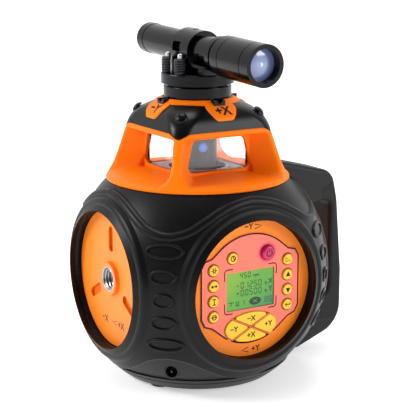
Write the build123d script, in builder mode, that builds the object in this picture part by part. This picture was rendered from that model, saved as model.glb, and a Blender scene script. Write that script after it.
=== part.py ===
from build123d import *
import os
from math import cos, radians, sin, sqrt

os.makedirs("parts", exist_ok=True)

# Rotary laser level. Millimetres, +Z up along the rotor's axis, +X towards the control panel,
# -Y towards the side mount. The origin is the mouth of the tripod thread under the base.

# Clearances
slip = 0.05  # radial, a shaft in its bore or a plug in its seat
part_gap = 0.2  # between fixed pieces that lie against each other
move_gap = 0.3  # between pieces that move past each other

# Ball-shaped body
waist_z = 80  # height of the body's waist and of the four round faces
waist_r = 96.5
barrel_arc_r = 97.5  # curve of the body's side
base_z = 2  # underside of the base
base_ring_h = 10.6
jacket_h = 135
jacket_wall = 3
housing_wall = 3
deck_t = 4
deck_hole_r = 41
tongue_sink = 1.2  # the base tongues lie this far below the jacket's surface
shoulder_sink = 1.2  # so does the jacket's smooth shoulder above the brow
bead_h = 0.8  # raised lines on the jacket
bead_w = 1.6
oval_half_h = 5.3
oval_shapes = [(113, 13.7), (96, 9.8), (79.4, 7.9), (62.8, 9.8), (45.8, 13.7)]  # height, half width
# Half of the brow and of the arch below, seen on a corner: sideways from the corner, height
brow_half = [(0, 123.4), (8, 124.6), (16, 127.4), (21, 130.6), (27, 134.8), (34, 139.4), (42, 143), (52, 145)]
arch_half = [(0, 34.4), (8, 33.2), (16, 30.4), (21, 27.2), (27, 23), (34, 18.2), (42, 13.8), (52, 9.5)]

# Round faces
face_azimuths = (0, 90, 180, 270)
lip_reach = 79.6  # crest of the lips, from the axis
lip_inner_r = 50.5
lip_edge_drop = 4.1  # the lip's inner edge lies this far below its crest
lip_edge_t = 1.4
lip_outer_r = 60
lip_crest_h = 3
lip_root_r = 63
lip_root_drop = 8
plate_reach = 72.8
plate_t = 3
plate_seat_w = 5
seat_wall = 6
seat_depth = 14

# Base, feet and inserts
base_floor_t = 6
base_wall = 7
base_edge_fillet = 4
base_seam_z = 8.8  # groove around the base ring
base_seam_w = 0.8
foot_r = 8
foot_recess = 1
foot_pcd_r = 47.5
foot_azimuths = (-65, 65, 180)
insert_outer_r = 9.5
insert_bore_r = 6.8
insert_length = 16
boss_wall = 4.5
side_boss_r = 12.5
side_boss_h = 3
groove_w = 7
groove_depth = 2.2
groove_start_r = 20
groove_end_r = 39
screw_shank_r = 1.5
screw_head_r = 3
screw_head_h = 2.2
screw_length = 9
base_screw_pcd_r = 44
door_screw_pcd_r = 42
socket_r = 4.3
socket_wall = 1.4
socket_pin_r = 0.9
socket_depth = 12
socket_z = 21.3
socket_azimuth = -45

# Control panel, in panel coordinates: sideways is +Y, upwards is +Z from the face's centre
overlay_t = 0.6
overlay_corner_r = 2
overlay_top = [(-24, 32.2), (0, 39.9), (24, 32.2)]  # arc at the top of the membrane
overlay_bottom = [(-22.6, -33), (0, -40.2), (22.6, -33)]
overlay_side = [(32, 25.7), (38, 24.2), (41, 19.2), (41, -17.8), (38, -23.3), (32, -25.5)]
lcd_w = 40
lcd_h = 28
lcd_z = -0.9
lcd_frame = 1.5
lcd_depth = 6
board_side = 60
board_t = 1.6
key_r = 4
key_proud = 1.5
key_travel = 0.7
key_flange = 0.9
key_column_y = 31
key_rows_z = (17.2, 5.9, -5.3, -16.5)
mode_key_at = (-15.5, 23.9)
power_key_at = (13.8, 24.4)
power_key_r = 5.4
power_key_proud = 3
pad_half_w = 21.5
pad_half_h = 10.8
pad_z = -28.2
pad_split = 0.7
pad_proud = 1.2
pad_corner_r = 1.2

# Handle on the +Y side
handle_half_w = 14.5
handle_reach = 124.6
handle_top_z = 157.5
handle_foot_y = 84
handle_foot_z = 3.4
handle_corner_r = 14
handle_heel_r = 24
handle_edge = 3.5
arm_fall = 14.7  # drop of the upper arm from the body to the shoulder
heel_rise = 14.8
gap_top_z = 121
gap_bottom_z = 44
gap_slope = 8
gap_corner_r = 5
bar_t = 12.4  # grip bar's thickness
bar_lean = 10  # the bar's top stands this far inwards
bar_bend_z = 121
bar_widest_z = 62
bar_bow_r = 70
core_t = 3.2
core_half_w = 7
seam_top_z = 134
seam_bottom_z = 25
seam_rise = 5
seam_depth = 20
rib_count = 3
rib_w = 4
rib_pitch = 7

# Lighthouse
cage_rim_r = 68
cage_rim_h = 2.2
cage_slope_z = 155.2  # top of the sloping skirt, where it meets the window wall
pane_wall_out = 30.5  # window wall's outer face, from the axis
pane_wall_t = 3
pane_t = 2
floor_top_z = 157
floor_t = 2
floor_hole_r = 20.6
floor_ledge_r = 26
blade_t = 6.5
# Thickness of the corner blades on their way up: share of the height, share of the thickness at the top
blade_flare = [(0, 3.6), (0.14, 1.9), (0.36, 1.15), (1, 1)]
window_sill_z = 157.4
window_head_z = 181
window_sill_half_w = 26.6
window_head_half_w = 21.4
window_corner_r = 4.5
ledge_t = 3
cap_edge_z = 188
cap_tip_z = 184.6
cap_tip_w = 7
rim_lap = 4  # the cage's rim rises outside the cap's underside
# Outline of the cap from its rim upwards: height, half width, corner radius
cap_sections = [(184, 42, 10.6), (191, 40.6, 12.5), (197, 38.4, 16.8), (203, 32.6, 22), (207.6, 25.8, 24.4)]
cap_wall = 3.5
cap_cavity_r = 34
ring_t = 0.6
ring_inner_r = 25.4
ring_outer_r = 31
lobe_w = 23.5
lobe_len = 14
lobe_corner_r = 6.8
lobe_pcd_r = 32.4
sight_w = 9
sight_len = 6
sight_rise = 1
sight_notch = 3
dimple_r = 5
dimple_depth = 1.5
dimple_pcd_r = 46
dimple_z = 198.2
dimple_tilt = 50

# Telescope
scope_z = 242.3  # height of the telescope's axis above the turntable's centre
scope_pitch = 2.4  # nose down, as set by the adjusters
base_disc_r = 25
base_disc_h = 9.2
base_disc_step = 1.6
swivel_r = 6
swivel_len = 6
table_r = 26.8
table_h = 7.4
table_neck_r = 22
table_neck_h = 1.5
tube_r = 11.4
tube_wall = 1.5
tube_rear_x = -63.3
eyepiece_rear_x = -72.3
eyepiece_r = 11.7
eyepiece_bore_r = 8
eyepiece_plug = 6
cradle_rear_x = -20
cradle_front_x = 16
cradle_w = 18
cradle_h = 9
upright_xs = (-18, -2)
upright_y = -13.5
upright_t = 4
upright_w = 7
upright_h = 8
clamp_rear_x = -14
clamp_front_x = 9.7
clamp_t = 3
clamp_slot_w = 11
clamp_slot_h = 7
clamp_slot_rise = 2.5
lock_x = 32
lock_w = 5
lock_r = 13.6
lock_groove_w = 4
lock_groove_r = 12.3
bell_r = 14.9
bell_front_x = 89.6
bell_wall = 3.1
bell_overlap = 6
bell_line_xs = (50.5, 79)
bell_line = 0.8
lens_recess = 7
lens_t = 4
lens_bulge = 1.4
adjuster_r = 4.5
adjuster_h = 11
adjuster_tip_r = 1.6
adjuster_tip_h = 3
adjuster_y = -18.4
adjuster_xs = (-11, 7)

# Laser unit
pivot_z = 114
gimbal_inner_r = 24
gimbal_wall = 6
gimbal_h = 8
trunnion_r = 2.5
tube_body_r = 12
tube_bore_r = 5
neck_r = 6
neck_bore_r = 3
foot_block = 28
foot_block_z = 62
foot_block_h = 18
arm_z = 125
arm_t = 4
motor_pcd_r = 28
motor_azimuth = 135
motor_r = 8
motor_h = 11
hub_bottom_z = 131.5
rotor_r = 14
rotor_top_z = 181.5
rotor_roof_t = 3
bearing_outer_r = 10.5
bearing_h = 5
neck_gap = 1
chamber_h = 19
prism_w = 14
prism_face = 7
beam_z = 172
beam_azimuth = -14.5
beam_window_r = 3.5
beam_window_t = 1.4
belt_z = 142.5
belt_w = 3.6
belt_t = 1.2
pulley_flange_t = 1
pulley_flange_h = 2
pulley_ratio = 2.5
pulley_shaft_r = 1.5
diode_r = 7
diode_h = 8
lens_disc_t = 3
collar_r = 17
collar_h = 10
rod_z = 70
rod_r = 2
rod_len = 42
tilt_motor_side = 18
tilt_motor_len = 22
tilt_motor_x = 30
battery_x = -22
battery_len = 28
battery_w = 54
battery_h = 50
battery_corner_r = 3
chassis_t = 4
chassis_z = 96
chassis_outer_r = 57
chassis_inner_r = 36
column_r = 4
column_pcd_r = 50
lug_pcd_r = 39.5
lug_w = 12
lug_t = 6

# Sizes that follow from those above
jacket_z = base_z + base_ring_h + part_gap * 2
jacket_top_z = jacket_z + jacket_h
housing_inset = jacket_wall + part_gap
cavity_inset = housing_inset + housing_wall
lip_crest_r = (lip_inner_r + lip_outer_r) / 2
lip_back = lip_reach - lip_edge_drop - lip_edge_t
plate_r = lip_inner_r - part_gap * 2
plate_back = plate_reach - plate_t
seat_inner_r = plate_r - plate_seat_w
cage_z = jacket_top_z + part_gap
pane_wall_in = pane_wall_out - pane_wall_t
cap_top_z = cap_sections[-1][0]
rim_z = cap_sections[0][0]
floor_z = floor_top_z - floor_t
base_top_z = base_z + base_ring_h
base_floor_z = base_z + base_floor_t
table_z = cap_top_z + base_disc_h + part_gap
table_top_z = table_z + table_neck_h + table_h
clamp_r = tube_r + slip + clamp_t
hub_bore_r = bearing_outer_r + slip
belt_inner_r = rotor_r + move_gap
belt_pitch_r = belt_inner_r + belt_t / 2
motor_belt_r = belt_pitch_r / pulley_ratio - belt_t / 2
board_x = plate_back - lcd_depth - board_t
side_mouth = plate_reach + side_boss_h
corner_azimuths = (45, 135, 225, 315)


def barrel_radius(z, inset=0):
    return waist_r - barrel_arc_r + sqrt((barrel_arc_r - inset) ** 2 - (z - waist_z) ** 2)


def barrel(bottom, top, inset=0):
    middle = (bottom + top) / 2
    with BuildPart() as solid:
        with BuildSketch(Plane.XZ):
            with BuildLine():
                side = ThreePointArc(
                    (barrel_radius(bottom, inset), bottom),
                    (barrel_radius(middle, inset), middle),
                    (barrel_radius(top, inset), top),
                )
                Polyline(side @ 1, (0, top), (0, bottom), side @ 0)
            make_face()
        revolve(axis=Axis.Z)
    return solid.part


def face_plane(azimuth, reach, height=waist_z):
    out = Vector(1, 0, 0).rotate(Axis.Z, azimuth)
    side = Vector(0, 1, 0).rotate(Axis.Z, azimuth)
    return Plane(origin=out * reach + Vector(0, 0, height), x_dir=side, z_dir=out)


def face_drum(azimuth, start, end, outer_r, inner_r=0, height=waist_z):
    with BuildPart() as drum:
        with BuildSketch(face_plane(azimuth, start, height)):
            Circle(outer_r)
            if inner_r > 0:
                Circle(inner_r, mode=Mode.SUBTRACT)
        extrude(amount=end - start)
    return drum.part


def lip(grow=0):
    crest = lip_reach + grow
    inner_r = lip_inner_r - grow * 2
    inner_edge = (crest - lip_edge_drop, inner_r)
    outer_edge = (crest - lip_crest_h, lip_outer_r + grow)
    root = (crest - lip_root_drop - grow * 2, lip_root_r + grow)
    back = (lip_back - grow, inner_r)
    with BuildPart() as ring:
        with BuildSketch(Plane(origin=(0, 0, waist_z), x_dir=(1, 0, 0), z_dir=(0, -1, 0))):
            with BuildLine():
                Line(back, inner_edge)
                ThreePointArc(inner_edge, (crest, lip_crest_r), outer_edge)
                Polyline(outer_edge, root, back)
            make_face()
        revolve(axis=Axis((0, 0, waist_z), (1, 0, 0)))
    return ring.part


def corner_cut(half_curve, end_z, shift=0):
    sideways, last_z = half_curve[-1]
    with BuildPart() as cut:
        with BuildSketch(face_plane(45, waist_r * 0.3, shift)):
            with BuildLine():
                Spline(*[(-y, z) for y, z in half_curve[:0:-1]], *half_curve)
                Polyline((sideways, last_z), (sideways, end_z), (-sideways, end_z), (-sideways, last_z))
            make_face()
        extrude(amount=waist_r)
    return cut.part


# Rubber jacket: raised ovals on its corners, a smooth shoulder above the brow, arches at the bottom

with BuildPart() as corner_beads:
    with BuildSketch(face_plane(45, waist_r * 0.6, 0)):
        for oval_z, oval_half_w in oval_shapes:
            with Locations((0, oval_z)):
                Ellipse(oval_half_w, oval_half_h)
                Ellipse(oval_half_w - bead_w, oval_half_h - bead_w, mode=Mode.SUBTRACT)
    extrude(amount=waist_r)
    add(barrel(jacket_z, jacket_top_z, -bead_h), mode=Mode.INTERSECT)

with BuildPart() as shoulder_cut:
    with PolarLocations(0, 4):
        add(corner_cut(brow_half, jacket_top_z + jacket_wall))
    add(barrel(jacket_z, jacket_top_z + 1, shoulder_sink), mode=Mode.SUBTRACT)

with BuildPart() as rubber_jacket:
    add(barrel(jacket_z, jacket_top_z))
    with PolarLocations(0, 4):
        add(corner_beads.part)
    add(shoulder_cut.part, mode=Mode.SUBTRACT)
    add(barrel(jacket_z - 1, jacket_top_z + 1, jacket_wall), mode=Mode.SUBTRACT)
    with PolarLocations(0, 4):
        add(lip())
    for azimuth in face_azimuths:
        add(face_drum(azimuth, waist_r * 0.5, waist_r, lip_inner_r), mode=Mode.SUBTRACT)
    with PolarLocations(0, 4):
        add(corner_cut(arch_half, 0), mode=Mode.SUBTRACT)
rubber_jacket.part.label = "rubber_jacket"
export_step(rubber_jacket.part, "parts/rubber_jacket.step")

# Inner housing: hard shell with the seats of the four round plates and the top deck

with BuildPart() as inner_housing:
    add(barrel(base_top_z + part_gap, jacket_top_z, housing_inset))
    add(barrel(base_top_z + housing_wall, jacket_top_z - deck_t, cavity_inset), mode=Mode.SUBTRACT)
    for azimuth in face_azimuths:
        add(face_drum(azimuth, plate_back - seat_depth, waist_r, plate_r + seat_wall, seat_inner_r))
    add(barrel(base_top_z + part_gap, jacket_top_z, housing_inset), mode=Mode.INTERSECT)
    with PolarLocations(0, 4):
        add(lip(part_gap), mode=Mode.SUBTRACT)
    for azimuth in face_azimuths:
        add(face_drum(azimuth, plate_back, waist_r, plate_r + part_gap), mode=Mode.SUBTRACT)
        add(face_drum(azimuth, lip_back, waist_r, lip_crest_r), mode=Mode.SUBTRACT)
        add(face_drum(azimuth, waist_r * 0.5, waist_r, seat_inner_r), mode=Mode.SUBTRACT)
    with BuildSketch(face_plane(180, plate_back)):
        with PolarLocations(door_screw_pcd_r, 4, start_angle=45):
            Circle(screw_head_r + 1)
            Circle(screw_shank_r + slip, mode=Mode.SUBTRACT)
    extrude(amount=-screw_length)
    with BuildSketch(Plane.XY.offset(base_floor_z + part_gap)):
        with PolarLocations(base_screw_pcd_r, 4, start_angle=45):
            Circle(screw_head_r + 1)
    extrude(until=Until.NEXT)
    with BuildSketch(Plane.XY.offset(base_z)):
        Circle(base_screw_pcd_r - screw_head_r - 1)
    extrude(amount=base_ring_h + housing_wall * 2, mode=Mode.SUBTRACT)
    with BuildSketch(Plane.XY.offset(base_z)):
        with PolarLocations(base_screw_pcd_r, 4, start_angle=45):
            Circle(screw_shank_r + slip)
    extrude(amount=base_ring_h + housing_wall * 2, mode=Mode.SUBTRACT)
    with BuildSketch(Plane.XY.offset(jacket_top_z - deck_t * 2)):
        Circle(deck_hole_r)
    extrude(amount=deck_t * 3, mode=Mode.SUBTRACT)
    with BuildSketch(face_plane(socket_azimuth, waist_r * 0.5, socket_z)):
        Circle(socket_r + socket_wall + part_gap)
    extrude(amount=waist_r, mode=Mode.SUBTRACT)
inner_housing.part.label = "inner_housing"
export_step(inner_housing.part, "parts/inner_housing.step")

# Base: low ring, four tongues in the jacket's arches, boss of the tripod thread, posts of the tilt motors

with BuildPart() as base_tongue:
    add(barrel(base_z + base_floor_t, arch_half[0][1], tongue_sink))
    add(barrel(base_z, arch_half[0][1] + base_z, jacket_wall), mode=Mode.SUBTRACT)
    add(corner_cut(arch_half, 0, -part_gap), mode=Mode.INTERSECT)

with BuildPart() as base_plate:
    add(barrel(base_z, base_top_z, part_gap))
    fillet(base_plate.faces().sort_by(Axis.Z)[0].edges(), radius=base_edge_fillet)
    with BuildSketch(Plane.XY.offset(base_floor_z)):
        Circle(barrel_radius(base_z) - base_wall)
    extrude(amount=base_ring_h, mode=Mode.SUBTRACT)
    with PolarLocations(0, 4):
        add(base_tongue.part)
    with BuildSketch(Plane.XY.offset(base_seam_z)):
        Circle(waist_r)
        Circle(barrel_radius(base_seam_z) - base_seam_w, mode=Mode.SUBTRACT)
    extrude(amount=base_seam_w, mode=Mode.SUBTRACT)
    with BuildSketch(Plane.XY):
        Circle(insert_outer_r + boss_wall)
    extrude(amount=insert_length + boss_wall)
    for post_azimuth in (0, 90):
        with BuildSketch(face_plane(post_azimuth, tilt_motor_x, base_z + base_floor_t / 2)):
            Rectangle(
                tilt_motor_side * 0.7,
                rod_z - tilt_motor_side / 2 - base_z - base_floor_t / 2,
                align=(Align.CENTER, Align.MIN),
            )
        extrude(amount=tilt_motor_len * 0.4)
    with BuildSketch(Plane.XY):
        Circle(insert_outer_r + slip)
    extrude(amount=insert_length, mode=Mode.SUBTRACT)
    with BuildSketch(Plane.XY.offset(base_z)):
        for azimuth in foot_azimuths:
            with PolarLocations(foot_pcd_r, 1, start_angle=azimuth):
                Circle(foot_r + part_gap)
    extrude(amount=foot_recess, mode=Mode.SUBTRACT)
    with BuildSketch(Plane.XY.offset(base_z)):
        with PolarLocations(base_screw_pcd_r, 4, start_angle=45):
            Circle(screw_head_r + part_gap)
    extrude(amount=screw_head_h + foot_recess + part_gap, mode=Mode.SUBTRACT)
    with BuildSketch(Plane.XY.offset(base_z)):
        with PolarLocations(base_screw_pcd_r, 4, start_angle=45):
            Circle(screw_shank_r + part_gap)
    extrude(amount=base_floor_t * 2, mode=Mode.SUBTRACT)
    with BuildSketch(face_plane(socket_azimuth, waist_r * 0.5, socket_z)):
        Circle(socket_r + socket_wall + slip)
    extrude(amount=waist_r, mode=Mode.SUBTRACT)
base_plate.part.label = "base_plate"
export_step(base_plate.part, "parts/base_plate.step")

with BuildPart() as feet:
    with BuildSketch(Plane.XY):
        for azimuth in foot_azimuths:
            with PolarLocations(foot_pcd_r, 1, start_angle=azimuth):
                Circle(foot_r)
    extrude(amount=base_z + foot_recess)
    fillet(feet.edges().group_by(Axis.Z)[0], radius=foot_recess / 2)
feet.part.label = "feet"
export_step(feet.part, "parts/feet.step")


def insert_at(plane):
    with BuildPart() as sleeve:
        with BuildSketch(plane):
            Circle(insert_outer_r)
            Circle(insert_bore_r, mode=Mode.SUBTRACT)
        extrude(amount=-insert_length)
    return sleeve.part


with BuildPart() as tripod_inserts:
    add(insert_at(Plane.XY.rotated((180, 0, 0))))
    add(insert_at(face_plane(270, side_mouth)))
tripod_inserts.part.label = "tripod_inserts"
export_step(tripod_inserts.part, "parts/tripod_inserts.step")

socket_front = barrel_radius(socket_z, tongue_sink)
with BuildPart() as charging_socket:
    with BuildSketch(face_plane(socket_azimuth, socket_front, socket_z)):
        Circle(socket_r + socket_wall)
        Circle(socket_r, mode=Mode.SUBTRACT)
        Circle(socket_pin_r)
    extrude(amount=-socket_depth)
    with BuildSketch(face_plane(socket_azimuth, socket_front - socket_depth, socket_z)):
        Circle(socket_r + socket_wall)
    extrude(amount=-socket_wall)
charging_socket.part.label = "charging_socket"
export_step(charging_socket.part, "parts/charging_socket.step")

# Round plates of the three faces without keys


def face_disc(azimuth, bore_r=0):
    with BuildPart() as disc:
        with BuildSketch(face_plane(azimuth, plate_back)):
            Circle(plate_r)
            if bore_r > 0:
                Circle(bore_r, mode=Mode.SUBTRACT)
        extrude(amount=plate_t)
    return disc.part


side_plane = face_plane(270, plate_reach)
with BuildPart() as side_mount_plate:
    add(face_disc(270))
    with BuildSketch(side_plane):
        with PolarLocations((groove_start_r + groove_end_r) / 2, 3, start_angle=90):
            SlotOverall(groove_end_r - groove_start_r, groove_w)
    extrude(amount=-groove_depth, mode=Mode.SUBTRACT)
    with BuildSketch(side_plane):
        Circle(side_boss_r)
    extrude(amount=side_boss_h, taper=8)
    with BuildSketch(face_plane(270, plate_back)):
        Circle(insert_outer_r + boss_wall)
    extrude(amount=-(insert_length - plate_t))
    with BuildSketch(face_plane(270, side_mouth)):
        Circle(insert_outer_r + slip)
    extrude(amount=-insert_length, mode=Mode.SUBTRACT)
side_mount_plate.part.label = "side_mount_plate"
export_step(side_mount_plate.part, "parts/side_mount_plate.step")

with BuildPart() as rear_door:
    add(face_disc(180))
    with BuildSketch(face_plane(180, plate_reach)):
        with PolarLocations(door_screw_pcd_r, 4, start_angle=45):
            Circle(screw_head_r + part_gap)
    extrude(amount=-screw_head_h - part_gap, mode=Mode.SUBTRACT)
    with BuildSketch(face_plane(180, plate_reach)):
        with PolarLocations(door_screw_pcd_r, 4, start_angle=45):
            Circle(screw_shank_r + part_gap)
    extrude(amount=-plate_t, mode=Mode.SUBTRACT)
    with BuildSketch(face_plane(180, plate_reach)):
        with PolarLocations((groove_start_r + groove_end_r) / 2, 3, start_angle=90):
            SlotOverall(groove_end_r - groove_start_r, groove_w)
    extrude(amount=-groove_depth, mode=Mode.SUBTRACT)
rear_door.part.label = "rear_door"
export_step(rear_door.part, "parts/rear_door.step")

with BuildPart() as handle_side_plate:
    add(face_disc(90))
    with BuildSketch(face_plane(90, plate_reach)):
        with PolarLocations((groove_start_r + groove_end_r) / 2, 3, start_angle=90):
            SlotOverall(groove_end_r - groove_start_r, groove_w)
    extrude(amount=-groove_depth, mode=Mode.SUBTRACT)
handle_side_plate.part.label = "handle_side_plate"
export_step(handle_side_plate.part, "parts/handle_side_plate.step")


def screw_at(plane, length):
    with BuildPart() as screw:
        with BuildSketch(plane):
            Circle(screw_head_r)
        extrude(amount=-screw_head_h)
        with BuildSketch(plane):
            Circle(screw_shank_r)
        extrude(amount=-(screw_head_h + length))
        with BuildSketch(plane):
            Rectangle(screw_head_r * 1.4, screw_head_r * 0.3)
            Rectangle(screw_head_r * 0.3, screw_head_r * 1.4)
        extrude(amount=-screw_head_h / 2, mode=Mode.SUBTRACT)
    return screw.part


door_plane = face_plane(180, plate_reach - part_gap / 2)
with BuildPart() as housing_screws:
    for azimuth in corner_azimuths:
        head_spot = Vector(base_screw_pcd_r, 0, base_z + foot_recess + part_gap / 2).rotate(Axis.Z, azimuth)
        add(screw_at(Plane(head_spot, z_dir=(0, 0, -1)), screw_length))
    for azimuth in corner_azimuths:
        out = Vector(door_screw_pcd_r, 0, 0).rotate(Axis.Z, azimuth)
        spot = door_plane.from_local_coords(out)
        add(screw_at(Plane(spot, x_dir=door_plane.x_dir, z_dir=door_plane.z_dir), plate_t * 2))
housing_screws.part.label = "housing_screws"
export_step(housing_screws.part, "parts/housing_screws.step")

# Control panel

key_places = {}
for row, key_z in enumerate(key_rows_z, start=1):
    key_places[f"left_key_{row}"] = (-key_column_y, key_z)
    key_places[f"right_key_{row}"] = (key_column_y, key_z)
key_places["mode_key"] = mode_key_at

panel_plane = face_plane(0, plate_reach)
panel_back_plane = face_plane(0, plate_back)
lcd_back_plane = face_plane(0, plate_back, waist_z + lcd_z)
small_hole_r = key_r + move_gap
power_hole_r = power_key_r + move_gap


def key_openings(depth_plane, depth):
    with BuildPart() as cuts:
        with BuildSketch(depth_plane):
            with Locations(*key_places.values()):
                Circle(small_hole_r)
            with Locations(power_key_at):
                Circle(power_hole_r)
            with Locations((0, pad_z)):
                Ellipse(pad_half_w + move_gap, pad_half_h + move_gap)
        extrude(amount=depth)
    return cuts.part


with BuildPart() as panel_bezel:
    add(face_disc(0))
    add(key_openings(panel_back_plane, plate_t), mode=Mode.SUBTRACT)
    with BuildSketch(lcd_back_plane):
        Rectangle(lcd_w + part_gap * 2, lcd_h + part_gap * 2)
    extrude(amount=plate_t, mode=Mode.SUBTRACT)
panel_bezel.part.label = "panel_bezel"
export_step(panel_bezel.part, "parts/panel_bezel.step")

with BuildPart() as keypad_overlay:
    with BuildSketch(panel_plane) as overlay_outline:
        with BuildLine():
            top_curve = ThreePointArc(*overlay_top)
            bottom_curve = ThreePointArc(*overlay_bottom)
            Polyline(top_curve @ 1, *overlay_side, bottom_curve @ 1)
            Polyline(top_curve @ 0, *[(-y, z) for y, z in overlay_side], bottom_curve @ 0)
        make_face()
        fillet(overlay_outline.vertices(), radius=overlay_corner_r)
        with Locations((0, lcd_z)):
            Rectangle(lcd_w, lcd_h, mode=Mode.SUBTRACT)
    extrude(amount=overlay_t)
    add(key_openings(panel_plane, overlay_t), mode=Mode.SUBTRACT)
keypad_overlay.part.label = "keypad_overlay"
export_step(keypad_overlay.part, "parts/keypad_overlay.step")

with BuildPart() as lcd_module:
    with BuildSketch(lcd_back_plane):
        Rectangle(lcd_w + lcd_frame * 2, lcd_h + lcd_frame * 2)
    extrude(amount=-lcd_depth)
    with BuildSketch(lcd_back_plane):
        Rectangle(lcd_w, lcd_h)
    extrude(amount=plate_t - part_gap)
lcd_module.part.label = "lcd_module"
export_step(lcd_module.part, "parts/lcd_module.step")

with BuildPart() as control_board:
    with BuildSketch(face_plane(0, board_x)):
        Rectangle(board_side, board_side)
    extrude(amount=board_t)
control_board.part.label = "control_board"
export_step(control_board.part, "parts/control_board.step")

# Keys: a cap that passes through the panel, a flange behind it and a stem that stops short of the board

key_stop = board_x + board_t + key_travel + move_gap
flange_front = plate_back - move_gap


def round_key(place, radius, proud):
    spot = Vector(*place)
    with BuildPart() as key:
        with BuildSketch(face_plane(0, flange_front - key_flange)):
            with Locations(spot):
                Circle(radius)
        extrude(amount=plate_reach + overlay_t + proud - flange_front + key_flange)
        fillet(key.edges().sort_by(Axis.X)[-1], radius=proud * 0.6)
        with BuildSketch(face_plane(0, flange_front)):
            with Locations(spot):
                Circle(radius + key_flange)
        extrude(amount=-key_flange)
        with BuildSketch(face_plane(0, key_stop)):
            with Locations(spot):
                Circle(radius / 2)
        extrude(amount=flange_front - key_stop)
    return key.part


for key_name, place in key_places.items():
    with BuildPart() as key:
        add(round_key(place, key_r, key_proud))
    key.part.label = key_name
    export_step(key.part, f"parts/{key_name}.step")

with BuildPart() as power_key:
    add(round_key(power_key_at, power_key_r, power_key_proud))
power_key.part.label = "power_key"
export_step(power_key.part, "parts/power_key.step")

pad_side_split = pad_split * pad_half_w / pad_half_h
pad_wedges = {
    "pad_up": ((0, pad_split), (pad_half_w * 2, pad_half_h * 2 + pad_split), (-1, 1)),
    "pad_down": ((0, -pad_split), (pad_half_w * 2, -pad_half_h * 2 - pad_split), (-1, 1)),
    "pad_right": ((pad_side_split, 0), (pad_half_w * 2 + pad_side_split, pad_half_h * 2), (1, -1)),
    "pad_left": ((-pad_side_split, 0), (-pad_half_w * 2 - pad_side_split, pad_half_h * 2), (1, -1)),
}
for pad_name, (apex, corner, flip) in pad_wedges.items():
    other_corner = (corner[0] * flip[0], corner[1] * flip[1])
    with BuildPart() as pad_key:
        with BuildSketch(face_plane(0, flange_front - key_flange, waist_z + pad_z)) as pad_outline:
            Ellipse(pad_half_w, pad_half_h)
            with BuildLine():
                Polyline(apex, corner, other_corner, close=True)
            make_face(mode=Mode.INTERSECT)
            fillet(pad_outline.vertices(), radius=pad_corner_r)
        extrude(amount=plate_reach + overlay_t + pad_proud - flange_front + key_flange)
        fillet(pad_key.faces().sort_by(Axis.X)[-1].edges(), radius=pad_proud * 0.5)
        centre = pad_outline.sketch.center()
        with BuildSketch(face_plane(0, key_stop, centre.Z)):
            with Locations((centre.Y, 0)):
                Circle(key_r / 2)
        extrude(amount=flange_front - key_stop - key_flange)
    pad_key.part.label = pad_name
    export_step(pad_key.part, f"parts/{pad_name}.step")

# Handle: two arms joined by a core, and the grip sleeve around the core

handle_plane = Plane(origin=(0, 0, 0), x_dir=(0, 1, 0), z_dir=(1, 0, 0))
handle_root_y = barrel_radius(base_z)
shoulder = (handle_reach - bar_lean, handle_top_z - arm_fall)
bar_bend = (handle_reach - bar_lean / 2, bar_bend_z)
heel = (handle_reach, handle_foot_z + heel_rise)

with BuildPart() as handle_blank:
    with BuildSketch(handle_plane):
        with BuildLine():
            FilletPolyline(
                (handle_root_y, handle_top_z),
                shoulder,
                bar_bend,
                (handle_reach, bar_widest_z),
                heel,
                (handle_foot_y, handle_foot_z),
                (handle_root_y, handle_foot_z),
                (handle_root_y, gap_bottom_z - gap_slope),
                (handle_reach - bar_t, gap_bottom_z),
                (handle_reach - bar_t, gap_top_z),
                (handle_root_y, gap_top_z - gap_slope),
                radius=(
                    0,
                    handle_corner_r,
                    bar_bow_r,
                    bar_bow_r,
                    handle_heel_r,
                    0,
                    0,
                    0,
                    gap_corner_r * 2,
                    gap_corner_r,
                    0,
                ),
                close=True,
            )
        make_face()
    extrude(amount=handle_half_w, both=True)
    side_edges = handle_blank.faces().filter_by(Axis.X).edges()
    fillet([edge for edge in side_edges if edge.center().Y > handle_root_y + part_gap], radius=handle_edge)
    add(barrel(base_z, jacket_top_z + part_gap, -bead_h - part_gap), mode=Mode.SUBTRACT)
    add(lip(part_gap).rotate(Axis.Z, 90), mode=Mode.SUBTRACT)
    add(face_drum(90, 0, lip_reach + part_gap, lip_outer_r), mode=Mode.SUBTRACT)
    with BuildSketch(Plane.XY.offset(jacket_top_z - part_gap)):
        Circle(cage_rim_r + part_gap)
    extrude(amount=handle_top_z, mode=Mode.SUBTRACT)
    for rib in range(rib_count):
        rib_y = cage_rim_r + rib_pitch * (rib + 1.5)
        rib_z = handle_top_z - arm_fall * (rib_y - handle_root_y) / (shoulder[0] - handle_root_y)
        with BuildSketch(handle_plane):
            with Locations((rib_y, rib_z)):
                Circle(rib_w / 2)
        extrude(amount=handle_half_w - handle_edge * 1.5, both=True, mode=Mode.SUBTRACT)

with BuildSketch(handle_plane) as grip_zone:
    with BuildLine():
        Polyline(
            (handle_reach - seam_depth, seam_top_z - seam_rise),
            (handle_reach - bar_lean, seam_top_z),
            (handle_reach + bar_lean, seam_top_z + seam_rise),
            (handle_reach + bar_lean, seam_bottom_z),
            (handle_reach - seam_depth, seam_bottom_z),
            close=True,
        )
    make_face()

core_top = (shoulder[0] - core_t, seam_top_z + seam_rise)
core_bend = (handle_reach - bar_t * 0.72, gap_top_z)
core_middle = (handle_reach - bar_t / 2, bar_widest_z)
core_foot = (handle_reach - bar_t * 0.76, seam_bottom_z - seam_rise)


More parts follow.
